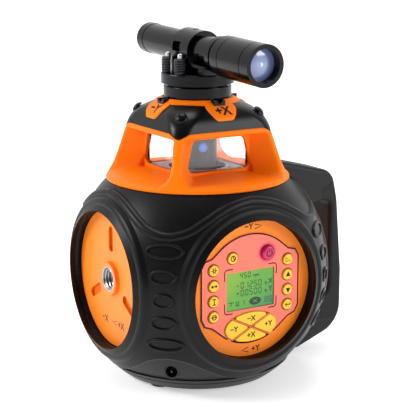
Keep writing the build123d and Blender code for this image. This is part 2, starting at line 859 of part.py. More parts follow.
def grip_core(grow=0):
    half_t = core_t / 2 + grow
    with BuildPart() as core:
        with BuildSketch(handle_plane):
            with BuildLine():
                inner_side = [(y - half_t, z) for y, z in (core_top, core_bend, core_middle, core_foot)]
                outer_side = [(y + half_t, z) for y, z in (core_foot, core_middle, core_bend, core_top)]
                Polyline(*inner_side, *outer_side, close=True)
            make_face()
        extrude(amount=core_half_w + grow, both=True)
    return core.part


with BuildPart() as handle_frame:
    add(handle_blank.part)
    with BuildSketch(handle_plane):
        add(grip_zone.sketch_local)
        offset(amount=part_gap)
    extrude(amount=handle_half_w * 2, both=True, mode=Mode.SUBTRACT)
    add(grip_core())
handle_frame.part.label = "handle_frame"
export_step(handle_frame.part, "parts/handle_frame.step")

with BuildPart() as handle_grip:
    add(handle_blank.part)
    with BuildSketch(handle_plane):
        add(grip_zone.sketch_local)
    extrude(amount=handle_half_w * 2, both=True, mode=Mode.INTERSECT)
    add(grip_core(slip), mode=Mode.SUBTRACT)
handle_grip.part.label = "handle_grip"
export_step(handle_grip.part, "parts/handle_grip.step")

# Lighthouse cage: sloping skirt, window wall, four corner blades and the rim under the cap


def corner_reach(half_width, corner_radius):
    return (half_width - corner_radius) * sqrt(2) + corner_radius


def cap_form(grow=0):
    with BuildPart() as dome:
        for height, half_width, corner_radius in cap_sections:
            with BuildSketch(Plane.XY.offset(height + grow)):
                RectangleRounded((half_width + grow) * 2, (half_width + grow) * 2, corner_radius + grow)
        loft()
    return dome.part


rim_half_w, rim_corner_r = cap_sections[0][1:]
rim_corner_reach = corner_reach(rim_half_w, rim_corner_r)


lap_reach = rim_half_w - rim_lap
with BuildPart() as cap_blank:
    add(cap_form())
    with BuildSketch(Plane.XY.offset(cap_tip_z)):
        Rectangle(rim_half_w * 3, rim_half_w * 3)
    extrude(amount=-rim_half_w, mode=Mode.SUBTRACT)
    for azimuth in face_azimuths:
        with BuildSketch(face_plane(azimuth, lap_reach, 0)):
            with BuildLine():
                FilletPolyline(
                    (-lap_reach, rim_z),
                    (lap_reach, rim_z),
                    (lap_reach, cap_tip_z),
                    (lap_reach - cap_tip_w, cap_edge_z),
                    (cap_tip_w - lap_reach, cap_edge_z),
                    (-lap_reach, cap_tip_z),
                    radius=(0, 0, 0, cap_tip_w, cap_tip_w, 0),
                    close=True,
                )
            make_face()
        extrude(amount=rim_half_w, mode=Mode.SUBTRACT)

with BuildPart() as cage_rim:
    add(cap_form())
    add(cap_blank.part, mode=Mode.SUBTRACT)

wall_corner_r = pane_wall_out * sqrt(2)
blade_reach = cage_rim_r - cage_rim_h * 0.7
blade_foot_z = cage_z + cage_rim_h * 1.7
blade_rise = (rim_z + cap_tip_z) / 2 - blade_foot_z
with BuildPart() as corner_blade:
    for share, swell in blade_flare:
        inner = wall_corner_r + (pane_wall_out - wall_corner_r) * share
        outer = blade_reach + (rim_corner_reach - blade_reach) * share
        with BuildSketch(Plane.XY.offset(blade_foot_z + blade_rise * share).rotated((0, 0, 45))):
            with Locations(((inner + outer) / 2, 0)):
                RectangleRounded(outer - inner, blade_t * swell, blade_t * 0.45)
    loft()

with BuildPart() as lighthouse_cage:
    with BuildSketch(Plane.XZ):
        with BuildLine():
            Polyline(
                (floor_ledge_r, floor_z - ledge_t),
                (deck_hole_r, floor_z - ledge_t),
                (cage_rim_r - cage_rim_h * 3, cage_z),
                (cage_rim_r, cage_z),
                (cage_rim_r, cage_z + cage_rim_h),
                (cage_rim_r - cage_rim_h, cage_z + cage_rim_h * 1.7),
                (pane_wall_out + 6, cage_slope_z),
                (pane_wall_out, floor_top_z - ring_t),
                (floor_ledge_r, floor_top_z - ring_t),
                close=True,
            )
        make_face()
    revolve(axis=Axis.Z)
    with BuildSketch(Plane.XY.offset(floor_z)):
        Rectangle(pane_wall_out * 2, pane_wall_out * 2)
    extrude(amount=rim_z - floor_z)
    with PolarLocations(0, 4):
        add(corner_blade.part)
    add(cage_rim.part)
    with BuildSketch(Plane.XY.offset(floor_z)):
        Rectangle(pane_wall_in * 2, pane_wall_in * 2)
    extrude(amount=cap_top_z, mode=Mode.SUBTRACT)
    for azimuth in face_azimuths:
        with BuildSketch(face_plane(azimuth, pane_wall_in - pane_t, 0)) as opening:
            with BuildLine():
                Polyline(
                    (-window_sill_half_w, window_sill_z),
                    (window_sill_half_w, window_sill_z),
                    (window_head_half_w, window_head_z),
                    (-window_head_half_w, window_head_z),
                    close=True,
                )
            make_face()
            fillet(opening.vertices(), radius=window_corner_r)
        extrude(amount=pane_wall_t + pane_t * 2, mode=Mode.SUBTRACT)
lighthouse_cage.part.label = "lighthouse_cage"
export_step(lighthouse_cage.part, "parts/lighthouse_cage.step")

pane_out = pane_wall_in - part_gap
with BuildPart() as window_panes:
    for azimuth in face_azimuths:
        pane_half_w = pane_out if azimuth in (0, 180) else pane_out - pane_t - part_gap
        with BuildSketch(face_plane(azimuth, pane_out, floor_top_z)):
            Rectangle(pane_half_w * 2, cap_tip_z - floor_top_z - part_gap, align=(Align.CENTER, Align.MIN))
        extrude(amount=-pane_t)
window_panes.part.label = "window_panes"
export_step(window_panes.part, "parts/window_panes.step")

with BuildPart() as lighthouse_floor:
    with BuildSketch(Plane.XY.offset(floor_z)):
        Rectangle((pane_wall_in - part_gap) * 2, (pane_wall_in - part_gap) * 2)
        Circle(floor_hole_r, mode=Mode.SUBTRACT)
    extrude(amount=floor_t)
lighthouse_floor.part.label = "lighthouse_floor"
export_step(lighthouse_floor.part, "parts/lighthouse_floor.step")

sight_top_z = cap_top_z + sight_rise
sight_start = base_disc_r + part_gap
dimple_normal = Vector(sin(radians(dimple_tilt)), 0, cos(radians(dimple_tilt))).rotate(Axis.Z, 45)
dimple_spot = Vector(dimple_pcd_r, 0, dimple_z).rotate(Axis.Z, 45)

with BuildPart() as sight_block:
    with BuildSketch(face_plane(0, sight_start, sight_top_z)):
        Rectangle(sight_w, sight_rise + sight_notch * 3, align=(Align.CENTER, Align.MAX))
        with BuildLine():
            Polyline((-sight_notch, 0), (sight_notch, 0), (0, -sight_notch), close=True)
        make_face(mode=Mode.SUBTRACT)
    extrude(amount=sight_len)

with BuildPart() as dimple:
    with BuildSketch(Plane(dimple_spot, z_dir=dimple_normal)):
        Circle(dimple_r)
    extrude(amount=dimple_r)
    extrude(amount=-dimple_depth, to_extrude=dimple.faces().sort_by_distance(dimple_spot)[0])

with BuildPart() as top_cap:
    add(cap_blank.part)
    with BuildSketch(Plane.XZ):
        with BuildLine():
            Polyline(
                (0, rim_z),
                (cap_cavity_r, rim_z),
                (cap_cavity_r, cap_edge_z + cap_wall),
                (swivel_r * 3, cap_top_z - cap_wall),
                (0, cap_top_z - cap_wall),
                close=True,
            )
        make_face()
    revolve(axis=Axis.Z, mode=Mode.SUBTRACT)
    with PolarLocations(0, 4):
        add(sight_block.part)
        add(dimple.part, mode=Mode.SUBTRACT)
top_cap.part.label = "top_cap"
export_step(top_cap.part, "parts/top_cap.step")

with BuildPart() as axis_ring:
    with BuildSketch(Plane.XY.offset(rim_z)):
        Circle(ring_outer_r)
        with PolarLocations(lobe_pcd_r, 4):
            RectangleRounded(lobe_len, lobe_w, lobe_corner_r)
        Circle(ring_inner_r, mode=Mode.SUBTRACT)
        with PolarLocations(sight_start + sight_len / 2, 4):
            Rectangle(sight_len + part_gap * 2, sight_w + part_gap * 2, mode=Mode.SUBTRACT)
    extrude(amount=cap_top_z)
    add(cap_form(ring_t), mode=Mode.INTERSECT)
    add(cap_form(), mode=Mode.SUBTRACT)
axis_ring.part.label = "axis_ring"
export_step(axis_ring.part, "parts/axis_ring.step")

# Telescope mount and telescope: fixed disc, turntable with cradle, clamp ring, tube and its ends

scope_dir = Vector(cos(radians(scope_pitch)), 0, -sin(radians(scope_pitch)))
scope_centre = Vector(0, 0, scope_z)
scope_profile = Plane(origin=scope_centre, x_dir=scope_dir, z_dir=(0, -1, 0))
scope_axis = Axis(scope_centre, scope_dir)
tube_bore_wall_r = tube_r - tube_wall
bell_bore_r = bell_r - bell_wall
bell_x = lock_x + lock_w + lock_groove_w
tube_front_x = bell_x + bell_overlap


def scope_drum(start, end, outer_r, inner_r=0):
    with BuildPart() as drum:
        with BuildSketch(Plane(origin=scope_centre + scope_dir * start, x_dir=(0, 1, 0), z_dir=scope_dir)):
            Circle(outer_r)
            if inner_r > 0:
                Circle(inner_r, mode=Mode.SUBTRACT)
        extrude(amount=end - start)
    return drum.part


with BuildPart() as scope_base:
    with BuildSketch(Plane.XY.offset(cap_top_z)):
        Circle(base_disc_r - base_disc_step)
    extrude(amount=base_disc_h)
    with BuildSketch(Plane.XY.offset(cap_top_z + base_disc_step)):
        Circle(base_disc_r)
    extrude(amount=base_disc_h - base_disc_step)
    fillet(scope_base.edges().group_by(Axis.Z)[-1], radius=base_disc_step / 2)
    with BuildSketch(Plane.XY.offset(cap_top_z + base_disc_h)):
        Circle(swivel_r + slip)
    extrude(amount=-swivel_len - move_gap, mode=Mode.SUBTRACT)
scope_base.part.label = "scope_base"
export_step(scope_base.part, "parts/scope_base.step")

with BuildPart() as scope_turntable:
    with BuildSketch(Plane.XY.offset(table_z + table_neck_h)):
        Circle(table_r)
    extrude(amount=table_h)
    fillet(scope_turntable.edges().group_by(Axis.Z)[-1], radius=base_disc_step / 2)
    with BuildSketch(Plane.XY.offset(table_z)):
        Circle(table_neck_r)
    extrude(amount=table_neck_h)
    with BuildSketch(Plane.XY.offset(table_z)):
        Circle(swivel_r)
    extrude(amount=-swivel_len)
    with BuildSketch(Plane.XY.offset(table_top_z)):
        with Locations(((cradle_rear_x + cradle_front_x) / 2, 0)):
            Rectangle(cradle_front_x - cradle_rear_x, cradle_w)
    extrude(amount=cradle_h)
    with BuildSketch(Plane.XY.offset(table_top_z)):
        with Locations([(x, upright_y) for x in upright_xs]):
            Rectangle(upright_t, upright_w)
    extrude(amount=upright_h)
    add(scope_drum(cradle_rear_x * 2, cradle_front_x * 2, clamp_r + slip), mode=Mode.SUBTRACT)
scope_turntable.part.label = "scope_turntable"
export_step(scope_turntable.part, "parts/scope_turntable.step")

with BuildPart() as scope_ring:
    add(scope_drum(clamp_rear_x, clamp_front_x, clamp_r, tube_r + slip))
    with BuildSketch(face_plane(270, tube_r / 2, scope_z + clamp_slot_rise)):
        with Locations((clamp_rear_x + (clamp_front_x - clamp_rear_x) / 3, 0)):
            RectangleRounded(clamp_slot_w, clamp_slot_h, clamp_slot_h / 5)
    extrude(amount=clamp_r, mode=Mode.SUBTRACT)
scope_ring.part.label = "scope_ring"
export_step(scope_ring.part, "parts/scope_ring.step")

with BuildPart() as scope_tube:
    add(scope_drum(tube_rear_x, tube_front_x, tube_r, tube_bore_wall_r))
scope_tube.part.label = "scope_tube"
export_step(scope_tube.part, "parts/scope_tube.step")

with BuildPart() as objective_bell:
    with BuildSketch(scope_profile):
        with BuildLine():
            Polyline(
                (lock_x, tube_r + slip),
                (lock_x, lock_r),
                (lock_x + lock_w, lock_r),
                (lock_x + lock_w, lock_groove_r),
                (bell_x, lock_groove_r),
                (bell_x, bell_r),
                (bell_front_x, bell_r),
                (bell_front_x, bell_bore_r),
                (tube_front_x, bell_bore_r),
                (tube_front_x, tube_r + slip),
                close=True,
            )
        make_face()
        with Locations([(x, bell_r) for x in bell_line_xs]):
            Rectangle(bell_line, bell_line, mode=Mode.SUBTRACT)
    revolve(axis=scope_axis)
objective_bell.part.label = "objective_bell"
export_step(objective_bell.part, "parts/objective_bell.step")


def lens(rear_x, thickness, radius):
    curve_r = (radius**2 + lens_bulge**2) / (2 * lens_bulge)
    half_way = lens_bulge - curve_r + sqrt(curve_r**2 - radius**2 / 4)
    front_x = rear_x + thickness
    with BuildPart() as glass:
        with BuildSketch(scope_profile):
            with BuildLine():
                ThreePointArc((rear_x - lens_bulge, 0), (rear_x - half_way, radius / 2), (rear_x, radius))
                Line((rear_x, radius), (front_x, radius))
                ThreePointArc((front_x, radius), (front_x + half_way, radius / 2), (front_x + lens_bulge, 0))
                Line((front_x + lens_bulge, 0), (rear_x - lens_bulge, 0))
            make_face()
        revolve(axis=scope_axis)
    return glass.part


with BuildPart() as scope_lenses:
    add(lens(bell_front_x - lens_recess - lens_t, lens_t, bell_bore_r - slip))
    add(lens(tube_rear_x + eyepiece_plug + lens_bulge * 2, lens_t / 2, tube_bore_wall_r - slip))
scope_lenses.part.label = "scope_lenses"
export_step(scope_lenses.part, "parts/scope_lenses.step")

eyepiece_front_x = tube_rear_x - move_gap
with BuildPart() as eyepiece:
    add(scope_drum(eyepiece_rear_x, eyepiece_front_x, eyepiece_r, eyepiece_bore_r))
    fillet(eyepiece.faces().sort_by(scope_axis)[0].edges(), radius=tube_wall / 2)
    plug_end_x = tube_rear_x + eyepiece_plug
    add(scope_drum(eyepiece_front_x, plug_end_x, tube_bore_wall_r - slip, eyepiece_bore_r))
eyepiece.part.label = "eyepiece"
export_step(eyepiece.part, "parts/eyepiece.step")

with BuildPart() as scope_adjusters:
    knob_spots = [(x, adjuster_y) for x in adjuster_xs]
    with BuildSketch(Plane.XY.offset(table_top_z)):
        with Locations(knob_spots):
            Circle(adjuster_r)
    extrude(amount=adjuster_h)
    with BuildSketch(Plane.XY.offset(table_top_z + adjuster_h)):
        with Locations(knob_spots):
            Circle(adjuster_tip_r)
    extrude(amount=adjuster_tip_h)
scope_adjusters.part.label = "scope_adjusters"
export_step(scope_adjusters.part, "parts/scope_adjusters.step")

# Laser unit pieces: chassis, gimbal, hanging tube, rotor and the levelling drives

gimbal_outer_r = gimbal_inner_r + gimbal_wall
lug_z = chassis_z + chassis_t
neck_top_z = rotor_top_z - rotor_roof_t - chamber_h - neck_gap
pulley_z = belt_z - move_gap - pulley_flange_t
pulley_top_z = belt_z + belt_w + move_gap + pulley_flange_t
motor_spot = Vector(motor_pcd_r, 0, 0).rotate(Axis.Z, motor_azimuth)


def beside_axis(z):
    return Plane(origin=(motor_spot.X, motor_spot.Y, z))


with BuildPart() as chassis_plate:
    with BuildSketch(Plane.XY.offset(chassis_z)):
        Circle(chassis_outer_r)
        Circle(chassis_inner_r, mode=Mode.SUBTRACT)
    extrude(amount=chassis_t)
    with BuildSketch(Plane.XY.offset(lug_z)):
        with PolarLocations(column_pcd_r, 4, start_angle=45):
            Circle(column_r)
    extrude(amount=jacket_top_z - deck_t - lug_z)
    with BuildSketch(Plane.XY.offset(lug_z)):
        with PolarLocations(lug_pcd_r, 2):
            Rectangle(lug_t, lug_w)
    extrude(amount=pivot_z + lug_w / 2 - lug_z)
    add(face_drum(0, -column_pcd_r, column_pcd_r, trunnion_r + slip, 0, pivot_z), mode=Mode.SUBTRACT)
chassis_plate.part.label = "chassis_plate"
export_step(chassis_plate.part, "parts/chassis_plate.step")

with BuildPart() as gimbal_ring:
    with BuildSketch(Plane.XY.offset(pivot_z - gimbal_h / 2)):
        Circle(gimbal_outer_r)
        Circle(gimbal_inner_r, mode=Mode.SUBTRACT)
    extrude(amount=gimbal_h)
    pin_start = gimbal_outer_r - gimbal_wall / 2
    for azimuth in (0, 180):
        add(face_drum(azimuth, pin_start, lug_pcd_r + lug_t / 2, trunnion_r, 0, pivot_z))
    bore_end = gimbal_outer_r * 2
    add(face_drum(90, -bore_end, bore_end, trunnion_r + slip, 0, pivot_z), mode=Mode.SUBTRACT)
gimbal_ring.part.label = "gimbal_ring"
export_step(gimbal_ring.part, "parts/gimbal_ring.step")

with BuildPart() as laser_tube:
    with BuildSketch(Plane.XY.offset(foot_block_z)):
        RectangleRounded(foot_block, foot_block, rod_r)
    extrude(amount=foot_block_h)
    with BuildSketch(Plane.XY.offset(foot_block_z)):
        Circle(tube_body_r)
    extrude(amount=arm_z - foot_block_z)
    with BuildSketch(Plane.XY.offset(arm_z)):
        Circle(collar_r)
        with Locations((motor_spot.X, motor_spot.Y)):
            Circle(motor_r + arm_t / 2)
        make_hull()
    extrude(amount=arm_t)
    with BuildSketch(Plane.XY.offset(arm_z)):
        Circle(neck_r)
    extrude(amount=neck_top_z - arm_z)
    for azimuth in (90, 270):
        add(face_drum(azimuth, tube_bore_r * 2, gimbal_outer_r - slip, trunnion_r, 0, pivot_z))
    with BuildSketch(Plane.XY.offset(foot_block_z)):
        Circle(tube_bore_r)
    extrude(amount=arm_z - foot_block_z, mode=Mode.SUBTRACT)
    with BuildSketch(Plane.XY.offset(arm_z)):
        Circle(neck_bore_r)
    extrude(amount=neck_top_z - arm_z, mode=Mode.SUBTRACT)
laser_tube.part.label = "laser_tube"
export_step(laser_tube.part, "parts/laser_tube.step")

with BuildPart() as laser_diode:
    with BuildSketch(Plane.XY.offset(foot_block_z)):
        Circle(diode_r)
    extrude(amount=-diode_h)
    with BuildSketch(Plane.XY.offset(foot_block_z)):
        Circle(tube_bore_r - slip)
    extrude(amount=diode_h)
laser_diode.part.label = "laser_diode"
export_step(laser_diode.part, "parts/laser_diode.step")

with BuildPart() as collimator_lens:
    with BuildSketch(Plane.XY.offset(pivot_z - lens_disc_t * 3)):
        Circle(tube_bore_r - slip)
    extrude(amount=lens_disc_t)
collimator_lens.part.label = "collimator_lens"
export_step(collimator_lens.part, "parts/collimator_lens.step")

with BuildPart() as level_sensor:
    with BuildSketch(Plane.XY.offset(foot_block_z + foot_block_h + arm_t)):
        Circle(collar_r)
        Circle(tube_body_r + slip, mode=Mode.SUBTRACT)
    extrude(amount=collar_h)
level_sensor.part.label = "level_sensor"
export_step(level_sensor.part, "parts/level_sensor.step")

with BuildPart() as spin_motor:
    with BuildSketch(beside_axis(arm_z + arm_t)):
        Circle(motor_r)
    extrude(amount=motor_h)
    with BuildSketch(beside_axis(arm_z + arm_t + motor_h)):
        Circle(pulley_shaft_r + slip)
    extrude(amount=-motor_h * 0.8, mode=Mode.SUBTRACT)
spin_motor.part.label = "spin_motor"
export_step(spin_motor.part, "parts/spin_motor.step")

with BuildPart() as motor_pulley:
    with BuildSketch(beside_axis(arm_z + arm_t + motor_h / 2)):
        Circle(pulley_shaft_r)
    extrude(amount=pulley_top_z - arm_z - arm_t - motor_h / 2)
    with BuildSketch(beside_axis(pulley_z)):
        Circle(motor_belt_r - move_gap)
    extrude(amount=pulley_top_z - pulley_z)
    with BuildSketch(beside_axis(pulley_z), beside_axis(pulley_top_z - pulley_flange_t)):
        Circle(motor_belt_r - move_gap + pulley_flange_h)
    extrude(amount=pulley_flange_t)
motor_pulley.part.label = "motor_pulley"
export_step(motor_pulley.part, "parts/motor_pulley.step")


def belt_loop(grow=0):
    with BuildPart() as loop:
        with BuildSketch(Plane.XY.offset(belt_z)):
            Circle(belt_inner_r + grow)
            with Locations((motor_spot.X, motor_spot.Y)):
                Circle(motor_belt_r + grow)
            make_hull()
        extrude(amount=belt_w)
    return loop.part


with BuildPart() as drive_belt:
    add(belt_loop(belt_t))
    add(belt_loop(), mode=Mode.SUBTRACT)
drive_belt.part.label = "drive_belt"
export_step(drive_belt.part, "parts/drive_belt.step")

with BuildPart() as rotor_bearings:
    for bearing_z in (belt_z - bearing_h, neck_top_z - neck_gap - bearing_h):
        with BuildSketch(Plane.XY.offset(bearing_z)):
            Circle(bearing_outer_r)
            Circle(neck_r + slip, mode=Mode.SUBTRACT)
        extrude(amount=bearing_h)
rotor_bearings.part.label = "rotor_bearings"
export_step(rotor_bearings.part, "parts/rotor_bearings.step")

window_face_r = sqrt(rotor_r**2 - beam_window_r**2) - part_gap
window_seat_r = window_face_r - beam_window_t
with BuildPart() as rotor_head:
    with BuildSketch(Plane.XY.offset(hub_bottom_z)):
        Circle(rotor_r)
    extrude(amount=rotor_top_z - hub_bottom_z)
    fillet(rotor_head.edges().group_by(Axis.Z)[-1], radius=rotor_roof_t / 3)
    with BuildSketch(Plane.XY.offset(pulley_z), Plane.XY.offset(pulley_top_z - pulley_flange_t)):
        Circle(rotor_r + pulley_flange_h)
    extrude(amount=pulley_flange_t)
    with BuildSketch(Plane.XY.offset(hub_bottom_z)):
        Circle(hub_bore_r)
    extrude(amount=neck_top_z + neck_gap - hub_bottom_z, mode=Mode.SUBTRACT)
    with BuildSketch(Plane.XY.offset(neck_top_z).rotated((0, 0, beam_azimuth))):
        Rectangle(prism_w + part_gap * 2, prism_w + part_gap * 2)
    extrude(amount=rotor_top_z - rotor_roof_t - neck_top_z, mode=Mode.SUBTRACT)
    with BuildSketch(face_plane(beam_azimuth, 0, beam_z)):
        Circle(beam_window_r * 0.7)
    extrude(amount=rotor_r * 2, mode=Mode.SUBTRACT)
    with BuildSketch(face_plane(beam_azimuth, window_seat_r, beam_z)):
        Circle(beam_window_r + slip)
    extrude(amount=rotor_r, mode=Mode.SUBTRACT)
rotor_head.part.label = "rotor_head"
export_step(rotor_head.part, "parts/rotor_head.step")

with BuildPart() as rotor_window:
    with BuildSketch(face_plane(beam_azimuth, window_seat_r, beam_z)):
        Circle(beam_window_r)
    extrude(amount=beam_window_t)
rotor_window.part.label = "rotor_window"
export_step(rotor_window.part, "parts/rotor_window.step")

prism_plane = Plane(
    origin=(0, 0, beam_z - prism_face / 2),
    x_dir=Vector(1, 0, 0).rotate(Axis.Z, beam_azimuth),
    z_dir=Vector(0, -1, 0).rotate(Axis.Z, beam_azimuth),
)
with BuildPart() as pentaprism:
    with BuildSketch(prism_plane):
        with BuildLine():
            Polyline(
                (-prism_face / 2, 0),
                (prism_face / 2, 0),
                (prism_face / 2, prism_face),
                (-prism_face / 2, prism_face * sqrt(2)),
                (prism_face / 2 - prism_face * sqrt(2), prism_face),
                close=True,
            )
        make_face()
    extrude(amount=prism_w / 2, both=True)
pentaprism.part.label = "pentaprism"
export_step(pentaprism.part, "parts/pentaprism.step")

with BuildPart() as tilt_motors:
    for azimuth in (0, 90):
        with BuildSketch(face_plane(azimuth, tilt_motor_x, rod_z)):
            Rectangle(tilt_motor_side, tilt_motor_side)
        extrude(amount=tilt_motor_len)
        add(face_drum(azimuth, 0, waist_r, rod_r + slip, 0, rod_z), mode=Mode.SUBTRACT)
tilt_motors.part.label = "tilt_motors"
export_step(tilt_motors.part, "parts/tilt_motors.step")

rod_start = foot_block / 2 + move_gap + slip
for rod_name, azimuth in (("push_rod_x", 0), ("push_rod_y", 90)):
    with BuildPart() as push_rod:
        add(face_drum(azimuth, rod_start, rod_start + rod_len, rod_r, 0, rod_z))
    push_rod.part.label = rod_name
    export_step(push_rod.part, f"parts/{rod_name}.step")

with BuildPart() as battery_pack:
    with BuildSketch(Plane.XY.offset(base_top_z + part_gap + housing_wall)):
        with Locations((battery_x - battery_len / 2, 0)):
            RectangleRounded(battery_len, battery_w, battery_corner_r)
    extrude(amount=battery_h)
battery_pack.part.label = "battery_pack"
export_step(battery_pack.part, "parts/battery_pack.step")
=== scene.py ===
import math

import bpy
from mathutils import Matrix, Vector


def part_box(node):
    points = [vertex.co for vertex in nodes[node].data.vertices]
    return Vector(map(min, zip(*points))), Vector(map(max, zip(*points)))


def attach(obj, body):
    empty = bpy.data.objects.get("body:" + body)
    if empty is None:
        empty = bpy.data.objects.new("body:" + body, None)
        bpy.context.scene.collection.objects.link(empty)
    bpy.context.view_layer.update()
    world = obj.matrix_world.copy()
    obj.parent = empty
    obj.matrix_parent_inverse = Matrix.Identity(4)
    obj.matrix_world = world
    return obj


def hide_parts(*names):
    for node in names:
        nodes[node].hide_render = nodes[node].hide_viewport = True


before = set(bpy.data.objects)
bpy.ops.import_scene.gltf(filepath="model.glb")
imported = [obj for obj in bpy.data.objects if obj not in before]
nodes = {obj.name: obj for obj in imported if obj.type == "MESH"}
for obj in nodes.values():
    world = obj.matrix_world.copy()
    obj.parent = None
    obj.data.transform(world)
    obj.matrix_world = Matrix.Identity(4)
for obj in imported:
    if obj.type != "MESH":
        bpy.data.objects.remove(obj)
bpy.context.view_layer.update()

mm = 0.001
weldWithin = 0.002 * mm  # corners closer than this are merged
letterWeld = 0.001 * mm  # the same for letters, whose corners lie closer
facesOut = 0.9  # least part of a face's normal along the axis that it has to face


def toLinear(red, green, blue, gamma=2.2):  # a colour as a picture shows it, 0 to 255
    return tuple((c / 255) ** gamma for c in (red, green, blue)) + (1.0,)


def dimmed(colour, share):
    return tuple(min(1.0, c * share) for c in colour[:3]) + (1.0,)


def middle(node):
    low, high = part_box(node)
    return (low + high) / 2


# Places read off the frame
waistZ = middle("panel_bezel").z
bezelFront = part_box("panel_bezel")[1].x
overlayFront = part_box("keypad_overlay")[1].x
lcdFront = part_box("lcd_module")[1].x
lcdMiddle = middle("lcd_module")
powerSpot = middle("power_key")
plateAway = abs(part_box("rear_door")[0].x)  # all four plates lie as far out
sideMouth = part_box("side_mount_plate")[0].y
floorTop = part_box("lighthouse_floor")[1].z
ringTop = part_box("axis_ring")[1].z
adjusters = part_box("scope_adjusters")


# A socket with its maths, so that masks can be written as plain expressions
class Wire:
    def __init__(self, finish, socket):
        self.finish = finish
        self.socket = socket

    def maths(self, operation, *others, swap=False):
        terms = (*others, self) if swap else (self, *others)
        return self.finish.node("Math", {"operation": operation}, *terms)

    def __add__(self, other):
        return self.maths("ADD", other)

    def __sub__(self, other):
        return self.maths("SUBTRACT", other)

    def __rsub__(self, other):
        return self.maths("SUBTRACT", other, swap=True)

    def __mul__(self, other):
        return self.maths("MULTIPLY", other)

    def root(self):
        return self.maths("SQRT")

    __radd__ = __add__
    __rmul__ = __mul__


# A material and its nodes
class Finish:
    def __init__(self, name, **sockets):
        self.material = bpy.data.materials.new(name)
        self.material.use_nodes = True
        self.tree = self.material.node_tree
        self.shader = self.tree.nodes["Principled BSDF"]
        self.fill(self.shader, (), sockets)
        self.place = self.node("TexCoord", output="Object")

    def fill(self, made, listed, named):
        pairs = list(enumerate(listed)) + [(key.replace("_", " "), v) for key, v in named.items()]
        for key, value in pairs:
            if isinstance(value, Wire):
                self.tree.links.new(value.socket, made.inputs[key])
            elif value is not None:
                made.inputs[key].default_value = value

    def node(self, kind, settings=None, *listed, output=0, **named):
        made = self.tree.nodes.new("ShaderNode" + kind)
        for key, value in (settings or {}).items():
            setattr(made, key, value)
        self.fill(made, listed, named)
        return Wire(self, made.outputs[output])

    def noise(self, scale, detail=3.0, roughness=0.55, vector=None):
        return self.node("TexNoise", {}, Vector=vector or self.place, Scale=scale, Detail=detail,
                         Roughness=roughness)

    def mixed(self, factor, first, second):  # colours have the node's seventh and eighth sockets
        passedOver = [None] * 5
        return self.node("Mix", {"data_type": "RGBA"}, factor, *passedOver, first, second, output=2)

    def spread(self, value, low, high, toLow=0.0, toHigh=1.0):
        return self.node("MapRange", {"interpolation_type": "SMOOTHSTEP"}, value, low, high, toLow, toHigh)

    def axes(self):
        made = self.node("SeparateXYZ", {}, self.place)
        return [Wire(self, made.socket.node.outputs[i]) for i in range(3)]

    def farFrom(self, y, z):  # distance from a line along X
        _, across, up = self.axes()
        return ((across - y) * (across - y) + (up - z) * (up - z)).root()

    def bump(self, height, strength, distance):
        self.use(Normal=self.node("Bump", {}, Strength=strength, Distance=distance, Height=height))

    def use(self, **sockets):
        self.fill(self.shader, (), sockets)
        return self


# Moulded plastic or rubber: cloudy colour, fine grain of a depth in millimetres, uneven gloss
mouldedForm = {"patchScale": 28, "patchDetail": 4, "grainDetail": 2, "bumpStrength": 0.35}


def moulded(name, colour, gloss=0.4, grain=1800, depth=0.06, cloud=0.07, uneven=0.10, tinted=None,
            **sockets):
    finish = Finish(name, **sockets)
    patches = finish.noise(mouldedForm["patchScale"], mouldedForm["patchDetail"])
    grains = finish.noise(grain, mouldedForm["grainDetail"])
    shade = finish.mixed(patches, dimmed(colour, 1 - cloud), dimmed(colour, 1 + cloud))
    finish.use(Base_Color=tinted(finish, shade) if tinted else shade)
    finish.use(Roughness=gloss + (patches - 0.5) * uneven + (grains - 0.5) * uneven)
    finish.bump(grains, mouldedForm["bumpStrength"], depth * mm)
    return finish


# Turned metal: fine lines round the upright axis, faint stains
metalForm = {"lineDetail": 2, "stainScale": 120, "stainDetail": 3, "stainShade": 0.82, "lineGloss": 0.22,
             "stainGloss": 0.12, "bumpStrength": 0.25, "bumpDepth": 0.04}


def turnedMetal(name, colour, gloss=0.28, stretch=(40, 40, 2600)):
    finish = Finish(name, Metallic=1.0)
    turned = finish.node("Mapping", {}, finish.place, None, None, stretch)
    lines = finish.noise(1.0, metalForm["lineDetail"], vector=turned)
    stains = finish.noise(metalForm["stainScale"], metalForm["stainDetail"])
    finish.use(Base_Color=finish.mixed(stains, dimmed(colour, metalForm["stainShade"]), colour))
    lined = gloss + (lines - 0.5) * metalForm["lineGloss"]
    finish.use(Roughness=lined + (stains - 0.5) * metalForm["stainGloss"])
    finish.bump(lines, metalForm["bumpStrength"], metalForm["bumpDepth"] * mm)
    return finish


grooveShadeTint = {"start": 0.2, "full": 1.2, "colour": toLinear(226, 104, 20)}  # millimetres below the face; the colour is painted shade on the groove floors


def darkGrooves(finish, shade):  # painted shade: the side plate's grooves are deeper, and their floors are painted a darker orange for the shade that falls in them
    start, full = [-plateAway + grooveShadeTint[key] * mm for key in ("start", "full")]
    return finish.mixed(finish.spread(finish.axes()[1], start, full), shade, grooveShadeTint["colour"])


haloTint = {"start": 5.6, "end": 8.6, "colour": toLinear(232, 50, 112)}  # millimetres from the key's middle


def powerHalo(finish, shade):  # pink glow on the membrane around the power key
    away = finish.farFrom(powerSpot.y, powerSpot.z)
    faded = finish.spread(away, haloTint["start"] * mm, haloTint["end"] * mm)
    return finish.mixed(faded, haloTint["colour"], shade)


glowTint = {
    "lean": 1.3, "warmFrom": -34, "warmTo": 2, "coolFrom": 6, "coolTo": 36,
    "warm": toLinear(128, 172, 48), "cool": toLinear(54, 134, 76),
}


